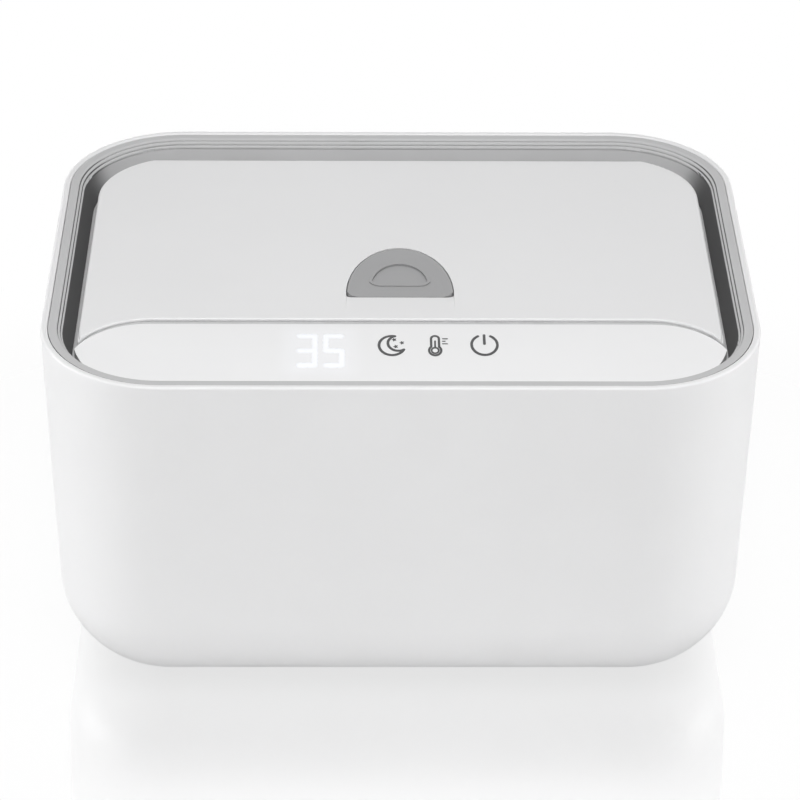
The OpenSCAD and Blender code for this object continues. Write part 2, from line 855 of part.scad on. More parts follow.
module lid_shell() {
    color("white")
        difference() {
            intersection() {
                translate([0, 0, lid_bottom])
                    linear_extrude(lid_h)
                        lid_outline(0);
                along_x(-half_w, half_w)
                    lid_side(lid_top, lid_bottom, roll_r);
            }
            difference() {
                intersection() {
                    translate([0, 0, lid_bottom - 1])
                        linear_extrude(lid_h + 1 - lid_top_t)
                            lid_outline(lid_skirt);
                    along_x(-half_w, half_w)
                        lid_side(lid_top - lid_top_t, lid_bottom - 1, roll_r - lid_skirt);
                }
                translate([0, 0, boss_bottom])
                    linear_extrude(lid_h)
                        button_outline(lip_w + 3);
                for (p = lid_screw_places)
                    translate([p[0], p[1], lid_bottom + liner_flange_t])
                        cylinder(r = 2.6, h = lid_h);
                both_sides()
                    rod_x(barrel_in, barrel_out, hinge_y, hinge_z, roll_r);
            }
            lid_edge();
            ramp();
            translate([0, 0, lid_bottom])
                linear_extrude(lid_h + 1)
                    button_outline(run_gap);
            translate([0, 0, lid_bottom - 1])
                linear_extrude(boss_bottom - lid_bottom + 1)
                    button_outline(lip_w + 2 * run_gap);
            holes(lid_screw_places, screw_r, lid_bottom, lid_top - 1.4);
            // Room for the arms and the springs under the rolled edge.
            both_sides() {
                rod_x(hinge_x - slot_half, hinge_x + slot_half + spring_room, hinge_y, hinge_z,
                    eye_r + run_gap);
                translate([hinge_x - slot_half, hinge_y - 12, lid_bottom - 1])
                    cube([2 * slot_half + spring_room, 20, hinge_z + 0.4 - lid_bottom + 1]);
                rod_x(hinge_x - pin_l / 2, hinge_x + pin_l / 2, hinge_y, hinge_z, pin_r);
            }
        }
}

bridge_t = 1;

module lid_liner() {
    flange_top = lid_bottom + liner_flange_t;
    plug_half_w = well_half_w - plug_gap;
    plug_front = well_front + plug_gap;
    plug_back = well_back - plug_gap;
    plug_r = well_r - plug_gap;
    color("whitesmoke")
        difference() {
            union() {
                translate([0, 0, lid_bottom])
                    linear_extrude(liner_flange_t)
                        intersection() {
                            lid_outline(lid_skirt + fit_gap);
                            translate([-half_w, -half_d])
                                square([body_w, half_d + hinge_y - fit_gap]);
                        }
                plate(plug_half_w, plug_front, plug_back, plug_r, plug_bottom, flange_top);
            }
            difference() {
                plate(plug_half_w - plug_wall, plug_front + plug_wall, plug_back - plug_wall,
                    plug_r - plug_wall, plug_floor, flange_top + 1);
                // The post behind the bolt's spring, and rails beside the bolt.
                translate([-5, spring_post_y, plug_bottom])
                    cube([10, 2, bolt_t + 3]);
                both_sides() {
                    translate([bolt_half_w + run_gap, bolt_front + 3, plug_bottom])
                        cube([1.6, 24, bolt_top - plug_bottom + run_gap + 1]);
                    translate([bolt_half_w - 1, bolt_front + 3, bolt_top + run_gap])
                        cube([run_gap + 2, 24, 1]);
                }
            }
            // The bolt's window in the plug's front wall.
            translate([-bolt_window_half_w - run_gap, plug_front - 1, bolt_z - run_gap])
                cube([2 * (bolt_window_half_w + run_gap), plug_wall + 2, bolt_t + 2 * run_gap]);
            // Room for the hinge barrels, arms and springs.
            both_sides()
                translate([barrel_in - fit_gap, hinge_y - roll_r - 1.2, lid_bottom - 1])
                    cube([barrel_out - barrel_in + 2 * fit_gap, 12, lid_h]);
            holes(lid_screw_places, screw_r + fit_gap, lid_bottom - 1, flange_top + 1);
            holes(lid_screw_places, head_r + fit_gap, lid_bottom - 1, lid_bottom + head_h);
        }
}

gasket_w = 3;

module lid_gasket() {
    color("lightgray")
        difference() {
            plate(well_half_w - plug_gap + 0.1 + gasket_w, well_front + plug_gap - 0.1 - gasket_w,
                well_back - plug_gap + 0.1 + gasket_w, well_r - plug_gap + gasket_w,
                deck_top + run_gap, lid_bottom);
            plate(well_half_w - plug_gap + 0.1, well_front + plug_gap - 0.1,
                well_back - plug_gap + 0.1, well_r - plug_gap, deck_top, lid_bottom + 1);
        }
}

module lid_screws() {
    color("silver")
        screws_up(lid_screw_places, lid_bottom + head_h, lid_h - head_h - 1.6);
}

module hinge_pins() {
    color("silver")
        both_sides()
            rod_x(hinge_x - pin_l / 2 + fit_gap, hinge_x + pin_l / 2 - fit_gap, hinge_y, hinge_z,
                pin_r);
}

// A torsion spring: one leg lies on the deck, the coil turns about the pin and the other
// leg lifts the lid's underside.
module hinge_springs() {
    wire = 0.3;
    coil_r = 1.95;
    turns = 4;
    x0 = hinge_x + slot_half + 0.6;
    x1 = x0 + spring_room - 1.5;
    start = 180;
    coil = [for (i = [0:turns * 12])
        let (a = start + 30 * i)
            [x0 + (x1 - x0) * i / (turns * 12), hinge_y + coil_r * cos(a),
            hinge_z + coil_r * sin(a)]];
    low_leg = [[x0, hinge_y - coil_r, deck_top + wire + 0.1]];
    high_leg = [[x1, hinge_y - coil_r - 0.01, hinge_z + 0.3]];
    color("silver")
        both_sides()
            wire_path(concat(low_leg, coil, high_leg), wire, [1, 0.01, 0]);
}

// ---- Release button, bolt and keeper -------------------------------------------------

module release_button() {
    rim_top = lid_top - scoop_steps[len(scoop_steps) - 1][1] * scoop_depth;
    color("darkgray")
        difference() {
            union() {
                difference() {
                    translate([0, 0, button_bottom])
                        linear_extrude(rim_top - button_bottom)
                            button_outline(0);
                    scoop();
                }
                translate([0, 0, button_bottom])
                    linear_extrude(lip_t)
                        button_outline(lip_w);
                // The ridge stands out of the scoop's floor, round the recess.
                translate([0, 0, button_bottom + lip_t])
                    linear_extrude(scoop_floor + ridge_h - button_bottom - lip_t)
                        half_moon(mark_half_w, mark_y, mark_l, 3, ridge_w);
                // Two wedges that push the bolt back.
                both_sides()
                    along_x(3.4, bolt_window_half_w - run_gap)
                        polygon([[wedge_y - 5, button_bottom + eps], [wedge_y - 5, wedge_bottom],
                            [wedge_y - 1, wedge_bottom], [wedge_y, wedge_bottom + 1],
                            [wedge_y, button_bottom + eps]]);
            }
            // The half-moon recess.
            translate([0, 0, scoop_floor - ridge_h])
                linear_extrude(scoop_depth + 1)
                    half_moon(mark_half_w, mark_y, mark_l, 3, 0);
        }
}

module latch_bolt() {
    window_front = wedge_y - 5 - press_travel - run_gap;
    ramp_y = wedge_y - 1 - (wedge_bottom - bolt_z) + 1.4 * run_gap;
    nose_front = bolt_front - nose_reach;
    color("dimgray") {
        difference() {
            translate([-bolt_half_w, bolt_front, bolt_z])
                cube([2 * bolt_half_w, bolt_rear - bolt_front, bolt_t]);
            along_x(-bolt_window_half_w, bolt_window_half_w)
                polygon([[window_front, bolt_z - 1], [ramp_y - 1, bolt_z - 1],
                    [ramp_y + bolt_t + 1, bolt_top + 1],
                    [window_front, bolt_top + 1]]);
        }
        along_x(-bolt_window_half_w, bolt_window_half_w)
            polygon([[nose_front, bolt_top - 0.4], [nose_front, bolt_z + 1.6],
                [nose_front + 1.6, bolt_z], [bolt_front + 1, bolt_z],
                [bolt_front + 1, bolt_top - 0.4]]);
    }
}

// The sprung steel strip that bridges the notch in the deck above the bolt's nose.
module latch_keeper() {
    t = 0.6;
    gap_z = bolt_top - 0.4 + run_gap;
    color("silver") {
        translate([-bolt_half_w, well_front - tank_wall - 2.6, gap_z])
            cube([2 * bolt_half_w, tank_wall + 2.6 - 0.2, t]);
        translate([-bolt_half_w, well_front - tank_wall - 2.6, gap_z])
            cube([2 * bolt_half_w, t, deck_top - 0.1 - gap_z]);
    }
}

module latch_spring() {
    wire = 0.3;
    coil_r = 1.1;
    turns = 7;
    y0 = bolt_rear + 0.1 + wire;
    y1 = spring_post_y - 0.1 - wire;
    mid_z = bolt_z + bolt_t / 2;
    path = [for (i = [0:turns * 12])
        [coil_r * cos(30 * i), y0 + (y1 - y0) * i / (turns * 12), mid_z + coil_r * sin(30 * i)]];
    color("silver")
        wire_path(path, wire, [0, 1, 0]);
}

// ---- Base, boards and heater ----------------------------------------------------------

module bottom_cover() {
    color("white")
        difference() {
            plate(cover_half_w, -cover_half_d, cover_half_d, 8 - rebate_gap, under_z,
                cover_top);
            holes(cover_screw_places, screw_r + fit_gap, under_z - 1, cover_top + 1);
            holes(cover_screw_places, head_r + fit_gap, under_z - 1, under_z + head_h);
            for (x = [-foot_x, foot_x], y = [-foot_y, foot_y])
                translate([x, y, under_z - 1])
                    cylinder(r = foot_r + fit_gap / 2, h = 2);
        }
}

module cover_screws() {
    color("silver")
        screws_up(cover_screw_places, under_z + head_h, cover_t + pad_h - head_h);
}

module rubber_feet() {
    color("gray")
        for (x = [-foot_x, foot_x], y = [-foot_y, foot_y])
            translate([x, y, 0]) {
                cylinder(r1 = foot_r - 0.6, r2 = foot_r, h = 0.6);
                translate([0, 0, 0.6])
                    cylinder(r = foot_r, h = under_z + 1 - 0.6);
            }
}

module main_board() {
    color("seagreen")
        difference() {
            translate([-main_half_w, main_face, main_bottom])
                cube([2 * main_half_w, board_t, main_h]);
            for (p = main_screw_places)
                translate([p[0], main_face - 1, p[1]])
                    rotate([-90, 0, 0])
                        cylinder(r = screw_r + fit_gap, h = board_t + 2);
        }
    // Two terminal blocks, a relay and two capacitors.
    color("darkgreen")
        for (x = [heater_terminal_x, supply_terminal_x])
            translate([x - terminal_w / 2, main_face - terminal_d, terminal_z])
                cube([terminal_w, terminal_d, terminal_h]);
    color("black") {
        translate([heater_terminal_x - 6, main_face - 12, terminal_z + 14])
            cube([12, 12, 16]);
        for (x = [6, 18])
            translate([x, main_face, terminal_z + 20])
                rotate([90, 0, 0])
                    cylinder(r = 4, h = 9);
    }
}

module board_screws() {
    color("silver")
        for (p = main_screw_places)
            translate([p[0], main_face, p[1]])
                rotate([-90, 0, 0])
                    screw(board_t + stand_off - 1);
}

module heat_plate() {
    color("silver")
        plate(plate_w / 2, plate_y - plate_d / 2, plate_y + plate_d / 2, 4,
            tank_bottom - plate_t, tank_bottom);
}

module heater_mat() {
    color("orangered")
        plate(plate_w / 2 - 4, plate_y - plate_d / 2 + 3, plate_y + plate_d / 2 - 3, 4,
            tank_bottom - plate_t - mat_t, tank_bottom - plate_t);
}

sensor_r = 1.5;
fuse_r = 1.8;
sensor_x = 12;
fuse_x = -16;

module insulation_pad() {
    color("khaki")
        difference() {
            plate(plate_w / 2 - 1, plate_y - plate_d / 2 + 1, plate_y + plate_d / 2 - 1, 4,
                pad_z, pad_z + pad_t);
            translate([sensor_x - 6, plate_y - 3, pad_z - 1])
                cube([12, 6, pad_t + 2]);
            translate([fuse_x - 9, plate_y - 3, pad_z - 1])
                cube([18, 6, pad_t + 2]);
        }
}

module heater_retainer() {
    color("whitesmoke")
        difference() {
            plate(plate_w / 2 + 1, plate_y - plate_d / 2 - 8, plate_y + plate_d / 2 + 8, 6,
                retainer_z, pad_z);
            holes(retainer_screw_places, screw_r + fit_gap, retainer_z - 1, pad_z + 1);
        }
}

module retainer_screws() {
    color("silver")
        screws_up(retainer_screw_places, retainer_z, 6);
}

module thermistor() {
    z = pad_z + pad_t - sensor_r;
    color("black") {
        rod_x(sensor_x - 3, sensor_x + 2, plate_y, z, sensor_r);
        translate([sensor_x + 2, plate_y, z])
            sphere(sensor_r);
    }
}

module thermal_fuse() {
    z = pad_z + pad_t - fuse_r;
    color("silver") {
        rod_x(fuse_x - 5, fuse_x + 5, plate_y, z, fuse_r);
        rod_x(fuse_x - 8, fuse_x + 8, plate_y, z, 0.5);
    }
}

heater_lead_r = 0.45;

// Two leads from the mat's front edge forward and up to the main board's terminals.
module heater_leads() {
    y = plate_y - plate_d / 2 + 3;
    z = tank_bottom - plate_t - mat_t / 2;
    color("red")
        for (x = [heater_terminal_x - 3, heater_terminal_x + 3])
            lead([[x, y - 0.1, z], [x, terminal_y, z], [x, terminal_y, terminal_z - 0.1]],
                heater_lead_r);
}

// ---- Power socket ---------------------------------------------------------------------

module dc_jack() {
    nose_end = jack_wall_y - 0.6;
    front = jack_inner_y - 0.6;
    bore = 2.75;
    color("black")
        difference() {
            union() {
                translate([jack_x - 4.5, front - 13, jack_z - 5.5])
                    cube([9, 13, 11]);
                translate([jack_x, front - 1, jack_z])
                    rotate([-90, 0, 0])
                        cylinder(r = jack_nose_r, h = nose_end - front + 1);
            }
            translate([jack_x, nose_end - 9.5, jack_z])
                rotate([-90, 0, 0])
                    cylinder(r = bore, h = 12);
        }
    color("silver")
        translate([jack_x, nose_end - 9.5 - eps, jack_z])
            rotate([-90, 0, 0])
                cylinder(r = 1, h = 8.5);
}

module jack_board() {
    color("seagreen")
        difference() {
            translate([jack_x - 11, jack_inner_y - 13, shelf_z])
                cube([22, 12, board_t]);
            holes(jack_screw_places, screw_r + fit_gap, shelf_z - 1, shelf_z + board_t + 1);
        }
}

module jack_screws() {
    color("silver")
        screws_down(jack_screw_places, shelf_z + board_t, board_t + 2);
}

dc_lead_r = 0.7;

// Two leads from the socket's board, round the well's side and up to the main board.
module dc_leads() {
    z = shelf_z + board_t / 2;
    side_x = well_half_w + tank_wall + 5;
    color("red")
        for (s = [-1, 1])
            let (x = jack_x + 2 * s,
                back_y = (well_back + tank_wall + jack_inner_y - 13.1) / 2 + 0.9 * s,
                x1 = side_x + 1.2 * s, front_y = terminal_y - 1.2 * s,
                x2 = supply_terminal_x + 3 * s)
                lead([[x, jack_inner_y - 13.1, z], [x, back_y, z], [x1, back_y, z],
                    [x1, front_y, z], [x2, front_y, z], [x2, front_y, terminal_z - 0.1]],
                    dc_lead_r);
}

// ---- Everything -----------------------------------------------------------------------

outer_shell();
trim_ring();
inner_tank();
tank_screws();
control_panel();
panel_seal();
panel_screws();
display_board();
display_screws();
led_display();
touch_springs();
display_cable();
latch_keeper();
hinge_pins();
hinge_springs();
bottom_cover();
cover_screws();
rubber_feet();
main_board();
board_screws();
heat_plate();
heater_mat();
insulation_pad();
heater_retainer();
retainer_screws();
thermistor();
thermal_fuse();
heater_leads();
dc_jack();
jack_board();
jack_screws();
dc_leads();
lid_shell();
lid_liner();
lid_gasket();
lid_screws();
release_button();
latch_bolt();
latch_spring();
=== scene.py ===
"""A wipe warmer: a white tub, a grey ribbed ring, a hinged lid with a thumb button, a touch panel.

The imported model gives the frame, and every length here is in its metres. The CAD nodes keep their
shapes. This script softens and dresses them, and makes the printed marks, the lit digits, the
feet, the screws and the felt pad anew.
"""

from __future__ import annotations

import json
import logging
import math
from dataclasses import dataclass
from enum import Enum
from functools import cache
from typing import Callable

import bmesh
import bpy
from mathutils import Matrix, Vector

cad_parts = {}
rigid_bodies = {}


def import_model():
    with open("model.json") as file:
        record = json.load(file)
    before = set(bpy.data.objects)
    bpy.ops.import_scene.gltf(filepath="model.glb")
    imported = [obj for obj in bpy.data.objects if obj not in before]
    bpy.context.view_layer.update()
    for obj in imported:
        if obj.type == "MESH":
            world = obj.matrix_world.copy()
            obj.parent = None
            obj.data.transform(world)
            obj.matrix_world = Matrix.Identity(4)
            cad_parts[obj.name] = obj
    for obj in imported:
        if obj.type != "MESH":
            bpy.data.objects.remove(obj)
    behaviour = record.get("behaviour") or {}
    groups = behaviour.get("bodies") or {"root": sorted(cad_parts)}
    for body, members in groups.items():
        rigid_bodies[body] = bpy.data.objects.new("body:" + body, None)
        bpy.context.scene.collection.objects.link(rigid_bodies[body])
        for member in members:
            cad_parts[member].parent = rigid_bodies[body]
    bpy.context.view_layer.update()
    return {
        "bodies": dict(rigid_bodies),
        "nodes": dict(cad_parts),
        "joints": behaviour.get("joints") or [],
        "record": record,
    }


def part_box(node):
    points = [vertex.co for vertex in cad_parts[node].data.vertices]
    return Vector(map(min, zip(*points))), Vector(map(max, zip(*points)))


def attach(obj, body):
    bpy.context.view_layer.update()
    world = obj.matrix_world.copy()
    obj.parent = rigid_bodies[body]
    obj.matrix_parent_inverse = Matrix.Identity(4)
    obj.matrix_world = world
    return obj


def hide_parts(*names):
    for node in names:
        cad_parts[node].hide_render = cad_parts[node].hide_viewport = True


MM = 0.001
WELD = 0.0005 * MM
WHITE = (1.0, 1.0, 1.0)
log = logging.getLogger("wipe_warmer")

Color = tuple[float, float, float]
Socket = bpy.types.NodeSocket


# ---------------------------------------------------------------------------------------------
# Node trees
# ---------------------------------------------------------------------------------------------


class Graph:
    """A node tree with short calls for its nodes, their values and their links."""

    def __init__(self, tree: bpy.types.NodeTree) -> None:
        """Works on a tree.

        Args:
            tree: the tree that the nodes go into.
        """
        self.tree = tree

    def node(self, kind: str, inputs: dict[str | int, object] | None = None,
             **settings: object) -> bpy.types.Node:
        """Adds a node.

        Args:
            kind: the node's type name.
            inputs: values or sockets by input name or number.
            settings: the node's own properties.

        Returns:
            The new node.
        """
        made = self.tree.nodes.new(kind)
        for name, value in settings.items():
            setattr(made, name, value)
        for name, value in (inputs or {}).items():
            self.feed(made.inputs[name], value)
        return made

    def feed(self, target: Socket, value: object) -> None:
        """Links a socket to an input, or sets the input's value.

        Args:
            target: the input.
            value: a socket, a number, a vector or a colour.
        """
        if isinstance(value, bpy.types.NodeSocket):
            self.tree.links.new(value, target)
        elif isinstance(value, tuple) and len(value) == 3 and target.type == "RGBA":
            target.default_value = (*value, 1.0)
        else:
            target.default_value = value

    def math(self, operation: str, *values: float | Socket, clamp: bool = False) -> Socket:
        """Adds a Math node.

        Args:
            operation: the operation's name.
            values: numbers or sockets.
            clamp: whether the result stays between 0 and 1.

        Returns:
            The result's socket.
        """
        made = self.node("ShaderNodeMath", dict(enumerate(values)), operation=operation)
        made.use_clamp = clamp
        return made.outputs[0]

    def smooth(self, value: Socket, low: float | Socket, high: float | Socket,
               to_low: float | Socket = 0.0, to_high: float | Socket = 1.0) -> Socket:
        """Maps a value smoothly from one range to another.

        Args:
            value: what is mapped.
            low: the value at which the result is to_low.
            high: the value at which the result is to_high.
            to_low: the result's start.
            to_high: the result's end.

        Returns:
            The result's socket.
        """
        made = self.node("ShaderNodeMapRange", {"Value": value, "From Min": low, "From Max": high,
                         "To Min": to_low, "To Max": to_high}, interpolation_type="SMOOTHSTEP")
        return made.outputs["Result"]

    def mix(self, share: float | Socket, first: object, second: object) -> Socket:
        """Mixes two colours.

        Args:
            share: the second colour's share.
            first: the first colour.
            second: the second colour.

        Returns:
            The mixed colour's socket.
        """
        made = self.tree.nodes.new("ShaderNodeMix")
        made.data_type = "RGBA"
        self.feed(made.inputs["Factor"], share)
        self.feed(made.inputs[6], first)
        self.feed(made.inputs[7], second)
        return made.outputs[2]

    def blend(self, share: Socket, first: bpy.types.Node,
              second: bpy.types.Node) -> bpy.types.Node:
        """Mixes two shaders.

        Args:
            share: the second shader's share.
            first: the first shader.
            second: the second shader.

        Returns:
            The mixed shader.
        """
        return self.node("ShaderNodeMixShader", {0: share, 1: first.outputs[0],
                         2: second.outputs[0]})

    def place(self) -> Socket:
        """Returns the socket of the place on the piece, in metres."""
        return self.node("ShaderNodeTexCoord").outputs["Object"]

    def axes(self, place: Socket) -> tuple[Socket, Socket, Socket]:
        """Splits a place.

        Args:
            place: a vector's socket.

        Returns:
            The sockets of its X, Y and Z.
        """
        made = self.node("ShaderNodeSeparateXYZ", {0: place})
        return made.outputs[0], made.outputs[1], made.outputs[2]

    def outside(self, centre: tuple[float, float], half: tuple[float, float]) -> Socket:
        """Measures how far a place lies outside an upright rectangular column.

        Args:
            centre: the column's axis in X and Y, in millimetres.
            half: its half widths.

        Returns:
            The distance in metres, which is 0 inside.
        """
        over = []
        for value, middle, reach in zip(self.axes(self.place()), centre, half):
            away = self.math("ABSOLUTE", self.math("SUBTRACT", value, middle * MM))
            past = self.math("MAXIMUM", self.math("SUBTRACT", away, reach * MM), 0.0)
            over.append(self.math("MULTIPLY", past, past))
        return self.math("SQRT", self.math("ADD", *over))

    def noise(self, place: Socket, scale: float | Socket, detail: float = 2.0,
              roughness: float = 0.5) -> Socket:
        """Adds a noise.

        Args:
            place: where it is read.
            scale: how many waves go into a metre.
            detail: how many finer layers it has.
            roughness: how strong the finer layers are.

        Returns:
            The noise's value.
        """
        made = self.node("ShaderNodeTexNoise", {"Vector": place, "Scale": scale, "Detail": detail,
                         "Roughness": roughness})
        return made.outputs["Fac"]


def fresh_graph(owner: bpy.types.Material | bpy.types.World) -> Graph:
    """Empties an owner's node tree.

    Args:
        owner: a material or a world.

    Returns:
        The graph of its tree.
    """
    owner.use_nodes = True
    owner.node_tree.nodes.clear()
    return Graph(owner.node_tree)


class Effect:
    """A shader node group that is built once and placed in many materials."""

    def __init__(self, name: str, inputs: dict[str, str], outputs: dict[str, str],
                 build: Callable[[Graph, dict[str, Socket]], dict[str, Socket]]) -> None:
        """Describes the group.

        Args:
            name: the group's name.
            inputs: each input's kind by its name, "Float" or "Color".
            outputs: each output's kind by its name.
            build: makes the nodes, given the graph and the inputs, and returns the outputs.
        """
        self.name, self.inputs, self.outputs, self.build = name, inputs, outputs, build

    def tree(self) -> bpy.types.NodeTree:
        """Returns the group's tree, and builds it at the first call."""
        found = bpy.data.node_groups.get(self.name)
        if found:
            return found
        tree = bpy.data.node_groups.new(self.name, "ShaderNodeTree")
        for names, way in ((self.inputs, "INPUT"), (self.outputs, "OUTPUT")):
            for name, kind in names.items():
                tree.interface.new_socket(name=name, in_out=way, socket_type=f"NodeSocket{kind}")
        graph = Graph(tree)
        start = graph.node("NodeGroupInput")
        end = graph.node("NodeGroupOutput")
        made = self.build(graph, {name: start.outputs[name] for name in self.inputs})
        for name, socket in made.items():
            graph.feed(end.inputs[name], socket)
        return tree

    def put(self, graph: Graph, **values: object) -> dict[str, Socket]:
        """Places the group in a material.

        Args:
            graph: the material's graph.
            values: the inputs by name, with an underscore for each space.

        Returns:
            The outputs' sockets by name.
        """
        made = graph.node("ShaderNodeGroup", node_tree=self.tree())
        for name, value in values.items():
            graph.feed(made.inputs[name.replace("_", " ")], value)
        return {name: made.outputs[name] for name in self.outputs}


def _grain(graph: Graph, given: dict[str, Socket]) -> dict[str, Socket]:
    """Makes the fine texture that a spark-eroded mould leaves.

    Args:
        graph: the group's graph.
        given: the group's inputs.

    Returns:
        The height of the texture.
    """
    place = graph.place()
    fine = graph.noise(place, given["Scale"], 2.0, 0.6)
    cells = graph.node("ShaderNodeTexVoronoi", {"Vector": place, "Scale": given["Scale"]},
                       feature="SMOOTH_F1").outputs["Distance"]
    slow = graph.noise(place, 60.0, 1.0)
    both = graph.math("ADD", graph.math("MULTIPLY", fine, 0.7), graph.math("MULTIPLY", cells, 0.5))
    return {"Height": graph.math("MULTIPLY", both, graph.smooth(slow, 0.3, 0.7, 0.7, 1.0))}


def _drift(graph: Graph, given: dict[str, Socket]) -> dict[str, Socket]:
    """Makes the slow change of tone that the flow of the plastic leaves.

    Args:
        graph: the group's graph.
        given: the group's inputs.

    Returns:
        The colour.
    """
    wave = graph.noise(graph.place(), given["Scale"], 3.0, 0.55)
    low = graph.math("SUBTRACT", 1.0, given["Drift"])
    value = graph.smooth(wave, 0.25, 0.75, low, 1.0)
    made = graph.node("ShaderNodeHueSaturation", {"Color": given["Color"], "Value": value})
    return {"Color": made.outputs["Color"]}


def _wear(graph: Graph, given: dict[str, Socket]) -> dict[str, Socket]:
    """Finds the edges of a piece and rubs them towards another colour.

    Args:
        graph: the group's graph.
        given: the group's inputs.

    Returns:
        The colour, and the mask of the edges.
    """
    rounded = graph.node("ShaderNodeBevel", {"Radius": given["Width"]}, samples=4)
    plain = graph.node("ShaderNodeNewGeometry").outputs["Normal"]
    dot = graph.node("ShaderNodeVectorMath", {0: rounded.outputs[0], 1: plain},
                     operation="DOT_PRODUCT").outputs["Value"]
    edge = graph.smooth(dot, 0.995, 0.8)
    patchy = graph.smooth(graph.noise(graph.place(), 900.0, 3.0, 0.7), 0.35, 0.6, 0.35, 1.0)
    mask = graph.math("MULTIPLY", graph.math("MULTIPLY", edge, patchy), given["Amount"],
                      clamp=True)
    return {"Color": graph.mix(mask, given["Color"], given["Edge Color"]), "Mask": mask}


def _marks(graph: Graph, given: dict[str, Socket]) -> dict[str, Socket]:
    """Makes the smudges and hairlines of handling in the gloss.

    Args:
        graph: the group's graph.
        given: the group's inputs.

    Returns:
        The roughness.
    """
    place = graph.place()
    smudge = graph.smooth(graph.noise(place, 35.0, 4.0, 0.6), 0.45, 0.75)
    drawn = graph.node("ShaderNodeMapping", {"Vector": place, "Scale": (1.0, 14.0, 4.0),
                       "Rotation": (0.0, 0.2, 0.5)}).outputs[0]
    hair = graph.smooth(graph.noise(drawn, 120.0, 2.0, 0.8), 0.66, 0.72)
    both = graph.math("ADD", smudge, graph.math("MULTIPLY", hair, 0.5))
    return {"Roughness": graph.math("ADD", given["Roughness"],
                                    graph.math("MULTIPLY", both, given["Amount"]), clamp=True)}


def _brushing(graph: Graph, given: dict[str, Socket]) -> dict[str, Socket]:
    """Makes the fine drawn lines of worked metal.

    Args:
        graph: the group's graph.
        given: the group's inputs.

    Returns:
        The colour, the roughness and the height of the lines.
    """
    stretched = graph.node("ShaderNodeMapping", {"Vector": graph.place(),
                           "Scale": (0.08, 1.0, 1.0)}).outputs[0]
    lines = graph.noise(stretched, given["Scale"], 4.0, 0.7)
    spots = graph.smooth(graph.noise(graph.place(), 400.0, 3.0, 0.6), 0.55, 0.75)
    dark = graph.node("ShaderNodeHueSaturation", {"Color": given["Color"], "Value": 0.72})
    tone = graph.math("MULTIPLY", graph.smooth(lines, 0.35, 0.65), 0.5)
    tone = graph.math("ADD", tone, graph.math("MULTIPLY", spots, 0.35), clamp=True)
    return {"Color": graph.mix(tone, given["Color"], dark.outputs["Color"]),
            "Roughness": graph.smooth(lines, 0.3, 0.7, given["Roughness"], 0.55),
            "Height": lines}


def _painted_shade_in_grooves(graph: Graph, given: dict[str, Socket]) -> dict[str, Socket]:
    """Paints shade into a colour: darkens it in narrow grooves and gaps, where ambient occlusion
    finds the surface closed in.

    Args:
        graph: the group's graph.
        given: the group's inputs.

    Returns:
        The colour, and the mask of the open surface.
    """
    # painted shade: ambient occlusion darkens the base colour, standing in for the shade in grooves
    # and gaps
    reach = graph.node("ShaderNodeAmbientOcclusion", {"Distance": given["Reach"]}, samples=8)
    mask = graph.smooth(reach.outputs["AO"], given["Closed"], given["Open"])
    dark = graph.node("ShaderNodeHueSaturation", {"Color": given["Color"],
                      "Value": given["Dark"]})
    return {"Color": graph.mix(mask, dark.outputs["Color"], given["Color"]), "Mask": mask}


GRAIN = Effect("mould_grain", {"Scale": "Float"}, {"Height": "Float"}, _grain)
DRIFT = Effect("tone_drift", {"Color": "Color", "Drift": "Float", "Scale": "Float"},
               {"Color": "Color"}, _drift)
WEAR = Effect("rubbed_edges", {"Color": "Color", "Edge Color": "Color", "Width": "Float",
              "Amount": "Float"}, {"Color": "Color", "Mask": "Float"}, _wear)
MARKS = Effect("handling_marks", {"Roughness": "Float", "Amount": "Float"},
               {"Roughness": "Float"}, _marks)
PAINTED_SHADE_IN_GROOVES = Effect("painted_groove_shade", {"Color": "Color", "Reach": "Float", "Closed": "Float",
                "Open": "Float", "Dark": "Float"}, {"Color": "Color", "Mask": "Float"}, _painted_shade_in_grooves)
BRUSHING = Effect("drawn_lines", {"Color": "Color", "Roughness": "Float", "Scale": "Float"},
                  {"Color": "Color", "Roughness": "Float", "Height": "Float"}, _brushing)


# ---------------------------------------------------------------------------------------------
# Finishes
# ---------------------------------------------------------------------------------------------


def add_bump(graph: Graph, shader: bpy.types.Node, height: Socket, depth: float,
             strength: float = 1.0) -> None:
    """Feeds a height into a shader's normal.

    Args:
        graph: the material's graph.
        shader: the Principled shader.
        height: the height's socket, from 0 to 1.
        depth: what a height of 1 is, in millimetres.
        strength: the share of the effect.
    """
    bump = graph.node("ShaderNodeBump", {"Height": height, "Strength": strength,
                      "Distance": depth * MM})
    graph.feed(shader.inputs["Normal"], bump.outputs[0])


@dataclass(frozen=True)
class Finish:
    """A named finish, which dresses a Principled shader in its own way."""

    name: str

    def material(self) -> bpy.types.Material:
        """Returns the finish's new material."""
        material = bpy.data.materials.new(self.name + "_finish")
        graph = fresh_graph(material)
        shader = graph.node("ShaderNodeBsdfPrincipled")
        graph.node("ShaderNodeOutputMaterial", {"Surface": shader.outputs[0]})
        self.dress(graph, shader)
        return material

    def dress(self, graph: Graph, shader: bpy.types.Node) -> None:
        """Sets up the shader. Each finish does this in its own way.

        Args:
            graph: the material's graph.
            shader: the Principled shader.
        """
        raise NotImplementedError(self.name)


